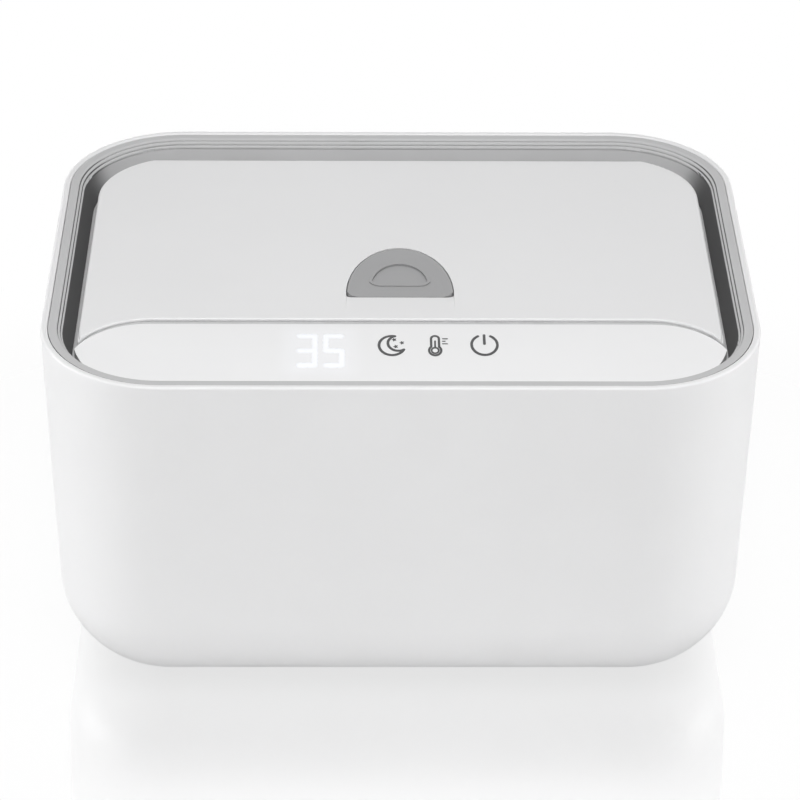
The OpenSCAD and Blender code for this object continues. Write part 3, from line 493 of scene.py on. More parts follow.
@dataclass(frozen=True)
class MouldedPlastic(Finish):
    """A moulded plastic with its grain, tone, rubbed edges and smudges, and painted shade in its
    grooves where asked.
    """

    color: Color
    edge: Color
    roughness: float = 0.4
    grain: float = 0.35
    depth: float = 0.004
    drift: float = 0.02
    smudge: float = 0.05
    wear: float = 0.3
    wear_width: float = 0.35
    coat: float = 0.0
    gloss: float = 0.5
    # the reach, the open range and the darkness of the painted shade in grooves and gaps
    painted_shade_reach: float = 0.0
    closed: float = 0.1
    open_: float = 0.6
    dark: float = 0.6

    def dress(self, graph: Graph, shader: bpy.types.Node) -> None:
        """Sets up the shader.

        Args:
            graph: the material's graph.
            shader: the Principled shader.
        """
        tone = DRIFT.put(graph, Color=self.color, Drift=self.drift, Scale=18.0)["Color"]
        worn = WEAR.put(graph, Color=tone, Edge_Color=self.edge, Width=self.wear_width * MM,
                        Amount=self.wear)
        tone = worn["Color"]
        # painted shade: the colour is darkened in grooves and gaps by ambient occlusion
        if self.painted_shade_reach:
            tone = PAINTED_SHADE_IN_GROOVES.put(graph, Color=tone, Reach=self.painted_shade_reach * MM, Closed=self.closed,
                              Open=self.open_, Dark=self.dark)["Color"]
        graph.feed(shader.inputs["Base Color"], tone)
        rough = MARKS.put(graph, Roughness=self.roughness, Amount=self.smudge)["Roughness"]
        graph.feed(shader.inputs["Roughness"], rough)
        height = GRAIN.put(graph, Scale=1.0 / (self.grain * MM))["Height"]
        add_bump(graph, shader, height, self.depth)
        shader.inputs["Specular IOR Level"].default_value = self.gloss
        if self.coat:
            shader.inputs["Coat Weight"].default_value = self.coat
            shader.inputs["Coat Roughness"].default_value = 0.08


@dataclass(frozen=True)
class RingPlasticWithPaintedShade(MouldedPlastic):
    """The ring's satin plastic, with painted shade on the faces down both long sides of its
    channel.
    """

    # the darkness, and the range of normals along X, of the painted shade on the channel's long
    # sides
    side: float = 0.25
    painted_shade_from: float = 0.72
    painted_shade_to: float = 0.93

    def dress(self, graph: Graph, shader: bpy.types.Node) -> None:
        """Sets up the shader, and paints shade onto the upright faces that look along X.

        Args:
            graph: the material's graph.
            shader: the Principled shader.
        """
        super().dress(graph, shader)
        tone = shader.inputs["Base Color"].links[0].from_socket
        # painted shade: faces that look along X are darkened, standing in for the shade in the
        # narrow gaps beside the lid
        facing = graph.node("ShaderNodeTexCoord").outputs["Normal"]
        across = graph.math("ABSOLUTE", graph.axes(facing)[0])
        mask = graph.smooth(across, self.painted_shade_from, self.painted_shade_to)
        dark = graph.node("ShaderNodeHueSaturation", {"Color": tone, "Value": self.side})
        graph.feed(shader.inputs["Base Color"], graph.mix(mask, tone, dark.outputs["Color"]))


@dataclass(frozen=True)
class PanelPlastic(MouldedPlastic):
    """The glossy milk-white plastic of the panel, which glows softly over the lit digits."""

    glow_centre: tuple[float, float] = (-24.75, -52.7)
    glow_half: tuple[float, float] = (7.2, 8.0)
    glow_fade: float = 7.5
    glow_color: Color = (0.035, 0.038, 0.046)

    def dress(self, graph: Graph, shader: bpy.types.Node) -> None:
        """Sets up the shader, with the light of the readout behind it.

        Args:
            graph: the material's graph.
            shader: the Principled shader.
        """
        super().dress(graph, shader)
        far = graph.outside(self.glow_centre, self.glow_half)
        glow = graph.smooth(far, 0.0, self.glow_fade * MM, 1.0, 0.0)
        patchy = graph.smooth(graph.noise(graph.place(), 260.0), 0.2, 0.8, 0.85, 1.0)
        light = graph.mix(graph.math("MULTIPLY", glow, patchy), (0.0, 0.0, 0.0), self.glow_color)
        graph.feed(shader.inputs["Emission Color"], light)
        shader.inputs["Emission Strength"].default_value = 1.0


@dataclass(frozen=True)
class Elastomer(Finish):
    """A soft rubber or silicone, matt and a little dusty."""

    color: Color
    dust: Color
    roughness: float = 0.7
    grain: float = 0.5
    depth: float = 0.01
    sheen: float = 0.1

    def dress(self, graph: Graph, shader: bpy.types.Node) -> None:
        """Sets up the shader.

        Args:
            graph: the material's graph.
            shader: the Principled shader.
        """
        tone = DRIFT.put(graph, Color=self.color, Drift=0.1, Scale=90.0)["Color"]
        dusty = graph.smooth(graph.noise(graph.place(), 1400.0, 4.0, 0.7), 0.52, 0.72, 0.0, 0.45)
        graph.feed(shader.inputs["Base Color"], graph.mix(dusty, tone, self.dust))
        rough = MARKS.put(graph, Roughness=self.roughness, Amount=0.1)["Roughness"]
        graph.feed(shader.inputs["Roughness"], rough)
        height = GRAIN.put(graph, Scale=1.0 / (self.grain * MM))["Height"]
        add_bump(graph, shader, height, self.depth)
        shader.inputs["Sheen Weight"].default_value = self.sheen


@dataclass(frozen=True)
class WorkedMetal(Finish):
    """A drawn, rolled or plated metal."""

    color: Color
    roughness: float = 0.28
    line_scale: float = 2600.0
    depth: float = 0.003

    def dress(self, graph: Graph, shader: bpy.types.Node) -> None:
        """Sets up the shader.

        Args:
            graph: the material's graph.
            shader: the Principled shader.
        """
        lines = BRUSHING.put(graph, Color=self.color, Roughness=self.roughness,
                             Scale=self.line_scale)
        worn = WEAR.put(graph, Color=lines["Color"], Edge_Color=(0.9, 0.9, 0.9),
                        Width=0.2 * MM, Amount=0.5)
        graph.feed(shader.inputs["Base Color"], worn["Color"])
        graph.feed(shader.inputs["Roughness"], lines["Roughness"])
        shader.inputs["Metallic"].default_value = 1.0
        add_bump(graph, shader, lines["Height"], self.depth)


@dataclass(frozen=True)
class CircuitBoard(Finish):
    """A green board with copper tracks under its mask and tinned pads."""

    mask: Color = (0.012, 0.12, 0.055)
    track: Color = (0.03, 0.24, 0.1)
    tin: Color = (0.62, 0.62, 0.6)
    pitch: float = 2.54

    def dress(self, graph: Graph, shader: bpy.types.Node) -> None:
        """Sets up the shader.

        Args:
            graph: the material's graph.
            shader: the Principled shader.
        """
        place = graph.place()
        cells = graph.node("ShaderNodeTexVoronoi", {"Vector": place, "Randomness": 0.35,
                           "Scale": 1.0 / (self.pitch * MM)}, distance="CHEBYCHEV")
        pads = graph.smooth(cells.outputs["Distance"], 0.13, 0.1)
        lines = graph.node("ShaderNodeTexVoronoi", {"Vector": place, "Randomness": 0.6,
                           "Scale": 0.4 / (self.pitch * MM)}, distance="MANHATTAN")
        wave = graph.math("FRACT", graph.math("MULTIPLY", lines.outputs["Distance"], 5.0))
        tracks = graph.smooth(wave, 0.45, 0.55)
        tone = graph.mix(tracks, self.mask, self.track)
        graph.feed(shader.inputs["Base Color"], graph.mix(pads, tone, self.tin))
        graph.feed(shader.inputs["Roughness"], graph.smooth(pads, 0.0, 1.0, 0.32, 0.22))
        height = graph.math("ADD", graph.math("MULTIPLY", tracks, 0.5), pads)
        add_bump(graph, shader, height, 0.03)


@dataclass(frozen=True)
class Felt(Finish):
    """A felted mat of pale fibres."""

    color: Color = (0.72, 0.69, 0.6)
    dark: Color = (0.45, 0.42, 0.34)

    def dress(self, graph: Graph, shader: bpy.types.Node) -> None:
        """Sets up the shader.

        Args:
            graph: the material's graph.
            shader: the Principled shader.
        """
        place = graph.place()
        swirl = graph.node("ShaderNodeTexNoise", {"Vector": place, "Scale": 300.0})
        bent = graph.node("ShaderNodeVectorMath", {0: swirl.outputs["Color"],
                          1: (0.004, 0.004, 0.004), 2: place}, operation="MULTIPLY_ADD")
        fibres = graph.node("ShaderNodeTexVoronoi", {"Vector": bent.outputs[0], "Scale": 900.0},
                            feature="DISTANCE_TO_EDGE").outputs["Distance"]
        mask = graph.smooth(fibres, 0.0, 0.12, 1.0, 0.0)
        graph.feed(shader.inputs["Base Color"], graph.mix(mask, self.dark, self.color))
        graph.feed(shader.inputs["Roughness"], graph.smooth(mask, 0.0, 1.0, 0.95, 0.8))
        shader.inputs["Sheen Weight"].default_value = 0.4
        add_bump(graph, shader, mask, 0.12)


@dataclass(frozen=True)
class GlassCloth(Finish):
    """Silicone with the weave of a glass cloth pressed into it."""

    color: Color = (0.42, 0.07, 0.03)
    thread: float = 0.9

    def dress(self, graph: Graph, shader: bpy.types.Node) -> None:
        """Sets up the shader.

        Args:
            graph: the material's graph.
            shader: the Principled shader.
        """
        x, y, _ = graph.axes(graph.place())
        turn = math.tau / (self.thread * MM)
        waves = [graph.math("SINE", graph.math("MULTIPLY", v, turn)) for v in (x, y)]
        weave = graph.smooth(graph.math("MULTIPLY", waves[0], waves[1]), -1.0, 1.0)
        tone = DRIFT.put(graph, Color=self.color, Drift=0.2, Scale=60.0)["Color"]
        dark = graph.node("ShaderNodeHueSaturation", {"Color": tone, "Value": 0.7})
        graph.feed(shader.inputs["Base Color"], graph.mix(weave, dark.outputs["Color"], tone))
        graph.feed(shader.inputs["Roughness"], graph.smooth(weave, 0.0, 1.0, 0.6, 0.45))
        add_bump(graph, shader, weave, 0.06)


@dataclass(frozen=True)
class Ink(Finish):
    """The grey print of the key marks."""

    color: Color = (0.06, 0.06, 0.062)

    def dress(self, graph: Graph, shader: bpy.types.Node) -> None:
        """Sets up the shader.

        Args:
            graph: the material's graph.
            shader: the Principled shader.
        """
        screen = graph.smooth(graph.noise(graph.place(), 9000.0, 2.0), 0.35, 0.65)
        graph.feed(shader.inputs["Base Color"], graph.mix(screen, self.color,
                   tuple(1.25 * c for c in self.color)))
        graph.feed(shader.inputs["Roughness"], graph.smooth(screen, 0.0, 1.0, 0.4, 0.5))
        add_bump(graph, shader, screen, 0.002)


@dataclass(frozen=True)
class PanelCurve:
    """The panel's curved top, as an arc from the front to the back."""

    crest_y: float = -36.75
    crest_z: float = 115.8
    radius: float = 150.0

    def height(self, y: float) -> float:
        """Returns the height of the panel's surface, in metres.

        Args:
            y: the place from the front to the back, in metres.
        """
        r = self.radius * MM
        away = y - self.crest_y * MM
        return self.crest_z * MM - r + math.sqrt(r * r - away * away)

    def above(self, graph: Graph) -> Socket:
        """Returns how far a point of a piece lies above the panel, in metres.

        Args:
            graph: the material's graph.
        """
        _, y, z = graph.axes(graph.place())
        r = self.radius * MM
        away = graph.math("SUBTRACT", y, self.crest_y * MM)
        arc = graph.math("SQRT", graph.math("SUBTRACT", r * r, graph.math("MULTIPLY", away, away)))
        return graph.math("SUBTRACT", graph.math("SUBTRACT", z, self.crest_z * MM - r), arc)


CURVE = PanelCurve()


@dataclass(frozen=True)
class LitDigit(Finish):
    """The white light of the digits, which fades from the middle of each stroke to its edge."""

    curve: PanelCurve
    foot: Color = (0.9, 0.9, 0.905)
    color: Color = (0.94, 0.955, 0.99)
    light: Color = (0.13, 0.134, 0.145)
    rim: Color = (0.035, 0.038, 0.046)
    reach: tuple[float, float] = (0.01, 0.16)

    def dress(self, graph: Graph, shader: bpy.types.Node) -> None:
        """Sets up the shader.

        Args:
            graph: the material's graph.
            shader: the Principled shader.
        """
        cloudy = graph.smooth(graph.noise(graph.place(), 700.0, 2.0), 0.3, 0.7)
        low, high = (v * MM for v in self.reach)
        middle = graph.smooth(self.curve.above(graph), low, high)
        graph.feed(shader.inputs["Base Color"], graph.mix(middle, self.foot, self.color))
        lit = graph.mix(cloudy, tuple(0.93 * c for c in self.light), self.light)
        graph.feed(shader.inputs["Emission Color"], graph.mix(middle, self.rim, lit))
        graph.feed(shader.inputs["Roughness"], graph.smooth(cloudy, 0.0, 1.0, 0.25, 0.35))
        shader.inputs["Emission Strength"].default_value = 1.0


LIT = LitDigit("lit_digit", CURVE)
PRINT = Ink("mark_ink")


@cache
def material_of(finish: Finish) -> bpy.types.Material:
    """Returns a finish's material, which is made at the first call.

    Args:
        finish: any of the finishes.
    """
    return finish.material()


class Slot(Enum):
    """The record's material slots, each with its finish."""

    WHITE_SHELL = MouldedPlastic("white_shell", (0.85, 0.85, 0.855), (0.92, 0.92, 0.92), 0.42,
                                 wear=0.35)
    WHITE_PANEL = PanelPlastic("white_panel", (0.915, 0.915, 0.92), (0.95, 0.95, 0.95), 0.2,
                               depth=0.001, coat=0.3)
    WHITE_INNER = MouldedPlastic("white_inner", (0.74, 0.74, 0.735), (0.85, 0.85, 0.85), 0.5,
                                 depth=0.006, drift=0.04)
    # painted shade: darkened in its grooves and on the long sides of its channel
    GREY_TRIM = RingPlasticWithPaintedShade("grey_trim", (0.6, 0.6, 0.605), (0.72, 0.72, 0.72), 0.75,
                            drift=0.05, wear=0.4, gloss=0.08, painted_shade_reach=1.2, closed=0.4,
                            open_=0.9, dark=0.35)
    GREY_SEAL = Elastomer("grey_seal", (0.6, 0.6, 0.605), (0.68, 0.68, 0.68))
    # painted shade: darkened in its scoop and gaps
    GREY_BUTTON = MouldedPlastic("grey_button", (0.385, 0.385, 0.39), (0.5, 0.5, 0.5), 0.42,
                                 drift=0.04, wear=0.4, gloss=0.35, painted_shade_reach=0.9, closed=0.35,
                                 open_=0.95, dark=0.78)
    GREY_INNER = MouldedPlastic("grey_inner", (0.22, 0.22, 0.225), (0.32, 0.32, 0.32), 0.5,
                                drift=0.08)
    DARK_PLASTIC = MouldedPlastic("dark_plastic", (0.03, 0.03, 0.033), (0.1, 0.1, 0.1), 0.4,
                                  drift=0.2)
    CIRCUIT_BOARD = CircuitBoard("circuit_board")
    SCREW_STEEL = WorkedMetal("screw_steel", (0.62, 0.62, 0.62), 0.25)
    SPRING_STEEL = WorkedMetal("spring_steel", (0.56, 0.56, 0.57), 0.2)
    SPRING_BRASS = WorkedMetal("spring_brass", (0.78, 0.58, 0.24), 0.22)
    CABLE_GREY = Elastomer("cable_grey", (0.5, 0.5, 0.52), (0.6, 0.6, 0.6), 0.5)
    FOOT_RUBBER = Elastomer("foot_rubber", (0.14, 0.14, 0.142), (0.3, 0.3, 0.3), 0.75)
    HEAT_ALUMINIUM = WorkedMetal("heat_aluminium", (0.78, 0.78, 0.79), 0.3, 1400.0)
    HEATER_SILICONE = GlassCloth("heater_silicone")
    INSULATION_FELT = Felt("insulation_felt")
    LEAD_RED = Elastomer("lead_red", (0.4, 0.02, 0.015), (0.5, 0.2, 0.2), 0.45)
    SEAL_SILICONE = Elastomer("seal_silicone", (0.5, 0.5, 0.5), (0.65, 0.65, 0.65), 0.6)

    @property
    def slot(self) -> str:
        """Returns the slot's name in the record."""
        return self.value.name

    def material(self) -> bpy.types.Material:
        """Returns the slot's material, and makes it at the first call."""
        return material_of(self.value)


SLOT_BY_NAME = {one.slot: one for one in Slot}


# ---------------------------------------------------------------------------------------------
# Meshes and pieces
# ---------------------------------------------------------------------------------------------


def add_object(name: str, data: bpy.types.ID) -> bpy.types.Object:
    """Adds an object to the scene.

    Args:
        name: its name.
        data: its mesh, camera or lamp.

    Returns:
        The new object.
    """
    obj = bpy.data.objects.new(name, data)
    bpy.context.scene.collection.objects.link(obj)
    return obj


def smooth_group() -> bpy.types.NodeTree:
    """Returns the geometry group that welds a mesh and shades it smooth up to an angle."""
    found = bpy.data.node_groups.get("smooth_by_angle")
    if found:
        return found
    tree = bpy.data.node_groups.new("smooth_by_angle", "GeometryNodeTree")
    tree.interface.new_socket(name="Mesh", in_out="INPUT", socket_type="NodeSocketGeometry")
    tree.interface.new_socket(name="Angle", in_out="INPUT", socket_type="NodeSocketFloat")
    tree.interface.new_socket(name="Mesh", in_out="OUTPUT", socket_type="NodeSocketGeometry")
    graph = Graph(tree)
    start = graph.node("NodeGroupInput")
    welded = graph.node("GeometryNodeMergeByDistance", {"Geometry": start.outputs[0],
                        "Distance": WELD})
    smooth = graph.node("GeometryNodeSetShadeSmooth", {"Geometry": welded.outputs[0],
                        "Shade Smooth": True}, domain="FACE")
    angle = graph.node("GeometryNodeInputMeshEdgeAngle")
    sharp = graph.node("FunctionNodeCompare", {0: angle.outputs[0], 1: start.outputs[1]},
                       data_type="FLOAT", operation="GREATER_THAN")
    edges = graph.node("GeometryNodeSetShadeSmooth", {"Geometry": smooth.outputs[0],
                       "Selection": sharp.outputs[0], "Shade Smooth": False}, domain="EDGE")
    graph.node("NodeGroupOutput", {0: edges.outputs[0]})
    return tree


def soften(obj: bpy.types.Object, angle: float) -> None:
    """Gives a piece welded, softly shaded faces, with modifiers alone.

    Args:
        obj: the piece.
        angle: the least angle of an edge that stays sharp, in degrees.
    """
    shade = obj.modifiers.new("shade", "NODES")
    shade.node_group = smooth_group()
    name = next(s.identifier for s in shade.node_group.interface.items_tree
                if s.in_out == "INPUT" and s.name == "Angle")
    shade[name] = math.radians(angle)
    obj.modifiers.new("weigh", "WEIGHTED_NORMAL").keep_sharp = True


def finish_piece(name: str, mesh: bmesh.types.BMesh, body: str, slot: Slot,
                 material: bpy.types.Material | None = None, replaces: tuple[str, ...] = (),
                 angle: float = 35.0) -> bpy.types.Object:
    """Turns a mesh into a piece that rides on a body.

    Args:
        name: the piece's name.
        mesh: its faces, in the frame's metres. It is freed.
        body: the body that it rides on.
        slot: the record's slot that its finish comes from.
        material: its material, if it isn't the slot's own.
        replaces: the CAD nodes that it stands for.
        angle: the least angle of an edge that stays sharp, in degrees.

    Returns:
        The piece's object.
    """
    bmesh.ops.remove_doubles(mesh, verts=mesh.verts, dist=WELD)
    bmesh.ops.recalc_face_normals(mesh, faces=mesh.faces)
    data = bpy.data.meshes.new(name)
    mesh.to_mesh(data)
    mesh.free()
    obj = add_object(name, data)
    data.materials.append(material or slot.material())
    soften(obj, angle)
    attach(obj, body)
    slot.slot
    if replaces:
        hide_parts(*replaces)
    log.info("piece %s on %s: %d faces", name, body, len(data.polygons))
    return obj


def join_in(mesh: bmesh.types.BMesh, part: bmesh.types.BMesh, place: Matrix) -> None:
    """Adds a part to a mesh.

    Args:
        mesh: the mesh that it goes into.
        part: the part. It is freed.
        place: where it goes.
    """
    bmesh.ops.transform(part, matrix=place, verts=part.verts)
    data = bpy.data.meshes.new("part")
    part.to_mesh(data)
    part.free()
    mesh.from_mesh(data)
    bpy.data.meshes.remove(data)


def turn_profile(mesh: bmesh.types.BMesh, profile: list[tuple[float, float]], steps: int,
                 place: Matrix) -> None:
    """Spins a profile round the Z axis and sets the result in its place.

    Args:
        mesh: the mesh that it goes into.
        profile: radius and height of each point, in millimetres.
        steps: how many faces go round.
        place: where the turned shape goes.
    """
    part = bmesh.new()
    points = [part.verts.new((r * MM, 0.0, z * MM)) for r, z in profile]
    edges = [part.edges.new(pair) for pair in zip(points, points[1:])]
    bmesh.ops.spin(part, geom=[*points, *edges], axis=(0, 0, 1), cent=(0, 0, 0), angle=math.tau,
                   steps=steps, use_merge=True)
    join_in(mesh, part, place)


def islands(node: str, reach: float) -> list[tuple[Vector, Vector]]:
    """Finds the separate solids of a CAD node.

    Args:
        node: the node's name.
        reach: how far apart two points of one solid may be, in millimetres.

    Returns:
        The lowest and highest corner of each solid.
    """
    found: list[list[Vector]] = []
    for vert in bpy.data.objects[node].data.vertices:
        point = vert.co
        for low_high in found:
            middle = (low_high[0] + low_high[1]) / 2
            if (point - middle).length < reach * MM:
                low_high[0] = Vector(map(min, low_high[0], point))
                low_high[1] = Vector(map(max, low_high[1], point))
                break
        else:
            found.append([point.copy(), point.copy()])
    return [(low, high) for low, high in found]


class Head(Enum):
    """The way that a screw's head faces."""

    UP = Matrix.Identity(4)
    DOWN = Matrix.Rotation(math.pi, 4, "X")
    FRONT = Matrix.Rotation(math.pi / 2, 4, "X")


@dataclass(frozen=True)
class Screws:
    """A set of small cross-head screws that stands for one CAD node."""

    node: str
    body: str
    facing: Head
    head_r: float = 2.2
    head_h: float = 1.4
    shank_r: float = 1.2
    thread_depth: float = 0.22
    pitch: float = 0.55
    plain: float = 0.4
    point: float = 1.2
    cross_half: float = 0.28
    cross_reach: float = 1.2
    cross_depth: float = 0.7
    cross_rim: float = 0.06
    cross_taper: float = 0.72
    spacing: float = 9.0
    steps: int = 24
    sharp_angle: float = 38.0

    def build(self) -> None:
        """Builds all the screws of the node as one piece."""
        mesh = bmesh.new()
        for low, high in islands(self.node, self.spacing):
            middle = (low + high) / 2
            size = high - low
            if self.facing is Head.FRONT:
                top, length = Vector((middle.x, low.y, middle.z)), size.y
            elif self.facing is Head.DOWN:
                top, length = Vector((middle.x, middle.y, low.z)), size.z
            else:
                top, length = Vector((middle.x, middle.y, high.z)), size.z
            place = Matrix.Translation(top) @ self.facing.value
            self.screw(mesh, length / MM, place)
        finish_piece(self.node + ".cross", mesh, self.body, Slot.SCREW_STEEL,
                     replaces=(self.node,), angle=self.sharp_angle)

    def screw(self, mesh: bmesh.types.BMesh, length: float, place: Matrix) -> None:
        """Builds one screw, with the top of its head at the origin before it is placed.

        Args:
            mesh: the mesh that it goes into.
            length: from the top of the head to the tip, in millimetres.
            place: where it goes.
        """
        seat, r, core = -self.head_h, self.head_r, self.shank_r - self.thread_depth
        profile = [(self.cross_reach, 0.0), (r - 0.45, -0.06), (r - 0.12, -0.35),
                   (r, seat + 0.35), (r, seat), (self.shank_r, seat)]
        z = seat - self.plain
        while z > self.point - length:
            profile += [(self.shank_r, z), (core, z - self.pitch / 2)]
            z -= self.pitch
        profile += [(self.shank_r - 0.4, 0.3 - length), (0.35, -length), (0.0, -length)]
        turn_profile(mesh, profile, self.steps, place)
        self.cross(mesh, place)

    def cross(self, mesh: bmesh.types.BMesh, place: Matrix) -> None:
        """Cuts the cross recess into the middle of the head.

        Args:
            mesh: the mesh that it goes into.
            place: where the screw goes.
        """
        half = self.cross_half * MM
        disc = bmesh.new()
        bmesh.ops.create_circle(disc, cap_ends=True, radius=self.cross_reach * MM,
                                segments=self.steps)
        for axis in ((1, 0, 0), (0, 1, 0)):
            for side in (-half, half):
                bmesh.ops.bisect_plane(disc, geom=[*disc.verts, *disc.edges, *disc.faces],
                                       dist=1e-8, plane_co=Vector(axis) * side, plane_no=axis)
        arms = [f for f in disc.faces
                if min(abs(f.calc_center_median().x), abs(f.calc_center_median().y)) < half]
        bmesh.ops.inset_region(disc, faces=arms, thickness=self.cross_rim * MM, depth=0.0)
        sunk = bmesh.ops.extrude_face_region(disc, geom=arms)
        floor = [g for g in sunk["geom"] if isinstance(g, bmesh.types.BMVert)]
        bmesh.ops.delete(disc, geom=[f for f in arms if f.is_valid], context="FACES")
        bmesh.ops.translate(disc, verts=floor, vec=(0, 0, -self.cross_depth * MM))
        bmesh.ops.scale(disc, verts=floor, vec=(self.cross_taper, self.cross_taper, 1.0))
        join_in(mesh, disc, place)


# ---------------------------------------------------------------------------------------------
# The readout and the key marks
# ---------------------------------------------------------------------------------------------


@dataclass
class PanelPrint:
    """Draws flat strokes and lays them on the curved panel."""

    curve: PanelCurve
    lift: float = 0.035
    ink: float = 0.02
    end_steps: int = 16

    def lay(self, mesh: bmesh.types.BMesh) -> None:
        """Lays a flat drawing on the panel and gives it the thickness of ink.

        Args:
            mesh: the drawing, in metres, in the plane at height 0.
        """
        grown = bmesh.ops.extrude_face_region(mesh, geom=list(mesh.faces))
        top = {g for g in grown["geom"] if isinstance(g, bmesh.types.BMVert)}
        for vert in mesh.verts:
            depth = self.lift + (self.ink if vert in top else 0.0)
            vert.co.z = self.curve.height(vert.co.y) + depth * MM

    def drape(self, mesh: bmesh.types.BMesh) -> None:
        """Lays a drawing that has its own heights on the panel.

        Args:
            mesh: the drawing, in metres, over the plane at height 0.
        """
        for vert in mesh.verts:
            vert.co.z += self.curve.height(vert.co.y)

    def stadium(self, length: float, width: float) -> bmesh.types.BMesh:
        """Makes a flat bar with round ends, in slices that can follow the panel's curve.

        Args:
            length: between the middles of its round ends, in millimetres.
            width: its width.

        Returns:
            The bar, along X, with its middle at the origin.
        """
        part = bmesh.new()
        half_step = math.pi / self.end_steps
        bmesh.ops.create_circle(part, cap_ends=True, radius=width / 2 / math.cos(half_step) * MM,
                                segments=self.end_steps, matrix=Matrix.Rotation(half_step, 4, "Z"))
        for side in (-1, 1):
            end = [v for v in part.verts if v.co.x * side > 0]
            bmesh.ops.translate(part, verts=end, vec=(side * length / 2 * MM, 0.0, 0.0))
        slices = math.ceil(length) + 1
        for count in range(1, slices):
            bmesh.ops.bisect_plane(part, geom=[*part.verts, *part.edges, *part.faces], dist=1e-8,
                                   plane_co=((count / slices - 0.5) * length * MM, 0.0, 0.0),
                                   plane_no=(1.0, 0.0, 0.0))
        return part

    def stroke_place(self, start: tuple[float, float], end: tuple[float, float]) -> Matrix:
        """Returns the place of a bar along X that is to run between two points.

        Args:
            start: one end, in millimetres.
            end: the other end.
        """
        a, b = Vector((*start, 0.0)) * MM, Vector((*end, 0.0)) * MM
        turn = Matrix.Rotation(math.atan2(b.y - a.y, b.x - a.x), 4, "Z")
        return Matrix.Translation((a + b) / 2) @ turn

    def bar(self, mesh: bmesh.types.BMesh, start: tuple[float, float],
            end: tuple[float, float], width: float) -> None:
        """Draws a straight bar with round ends.

        Args:
            mesh: the drawing.
            start: the middle of one round end, in millimetres.
            end: the middle of the other.
            width: the bar's width.
        """
        part = self.stadium(math.dist(start, end), width)
        join_in(mesh, part, self.stroke_place(start, end))

    def ridge(self, mesh: bmesh.types.BMesh, start: tuple[float, float],
              end: tuple[float, float], widths: tuple[float, float], height: float) -> None:
        """Draws a bar whose middle is raised in two slopes over a wider foot.

        Args:
            mesh: the drawing.
            start: one end of the raised middle, in millimetres.
            end: the other end.
            widths: the middle's width and the foot's.
            height: how high the middle is.
        """
        top_w, foot_w = widths
        part = self.stadium(math.dist(start, end), foot_w)
        bmesh.ops.recalc_face_normals(part, faces=part.faces)
        middle = list(part.faces)
        for _ in range(2):
            bmesh.ops.inset_region(part, faces=middle, use_boundary=True, use_even_offset=True,
                                   thickness=(foot_w - top_w) / 4 * MM)
            raised = {v for face in middle for v in face.verts}
            bmesh.ops.translate(part, verts=list(raised), vec=(0.0, 0.0, height / 2 * MM))
        foot = [edge for edge in part.edges if edge.is_boundary]
        bmesh.ops.holes_fill(part, edges=foot, sides=0)
        join_in(mesh, part, self.stroke_place(start, end))

    def arc(self, mesh: bmesh.types.BMesh, centre: tuple[float, float], radius: float,
            start: float, span: float, width: float, stretch: float = 1.0) -> None:
        """Draws an arc with round ends, which may be stretched along Y.

        Args:
            mesh: the drawing.
            centre: the arc's centre, in millimetres.
            radius: the radius of its middle line.
            start: the angle where it starts, in degrees.
            span: how far it goes, in degrees.
            width: the stroke's width.
            stretch: the share by which it is longer along Y.
        """
        part = bmesh.new()
        ends = [part.verts.new(((radius + side * width / 2) * MM, 0, 0)) for side in (-1, 1)]
        edge = part.edges.new(ends)
        full = abs(span) >= 360
        bmesh.ops.spin(part, geom=[*ends, edge], axis=(0, 0, 1), cent=(0, 0, 0),
                       angle=math.radians(span), steps=max(8, int(abs(span) / 5)), use_merge=full)
        for angle in () if full else (0.0, span):
            bmesh.ops.create_circle(part, cap_ends=True, radius=width / 2 * MM,
                                    segments=self.end_steps,
                                    matrix=Matrix.Rotation(math.radians(angle), 4, "Z")
                                    @ Matrix.Translation((radius * MM, 0, 0)))
        join_in(mesh, part, self.stretched(centre, stretch)
                @ Matrix.Rotation(math.radians(start), 4, "Z"))

    def stretched(self, centre: tuple[float, float], stretch: float) -> Matrix:
        """Returns a place on the panel with a stretch along Y.

        Args:
            centre: the place, in millimetres.
            stretch: the share by which Y is longer.
        """
        return (Matrix.Translation((centre[0] * MM, centre[1] * MM, 0.0))
                @ Matrix.Diagonal((1.0, stretch, 1.0, 1.0)))

    def star(self, mesh: bmesh.types.BMesh, centre: tuple[float, float], radius: float,
             stretch: float) -> None:
        """Draws a small star with five points.

        Args:
            mesh: the drawing.
            centre: its centre, in millimetres.
            radius: from its centre to a point.
            stretch: the share by which it is longer along Y.
        """
        part = bmesh.new()
        made = bmesh.ops.create_circle(part, cap_ends=True, radius=radius * MM, segments=10,
                                       matrix=Matrix.Rotation(math.pi / 2, 4, "Z"))
        for count, vert in enumerate(made["verts"]):
            if count % 2:
                vert.co *= 0.5
        bmesh.ops.triangulate(part, faces=list(part.faces))
        join_in(mesh, part, self.stretched(centre, stretch))


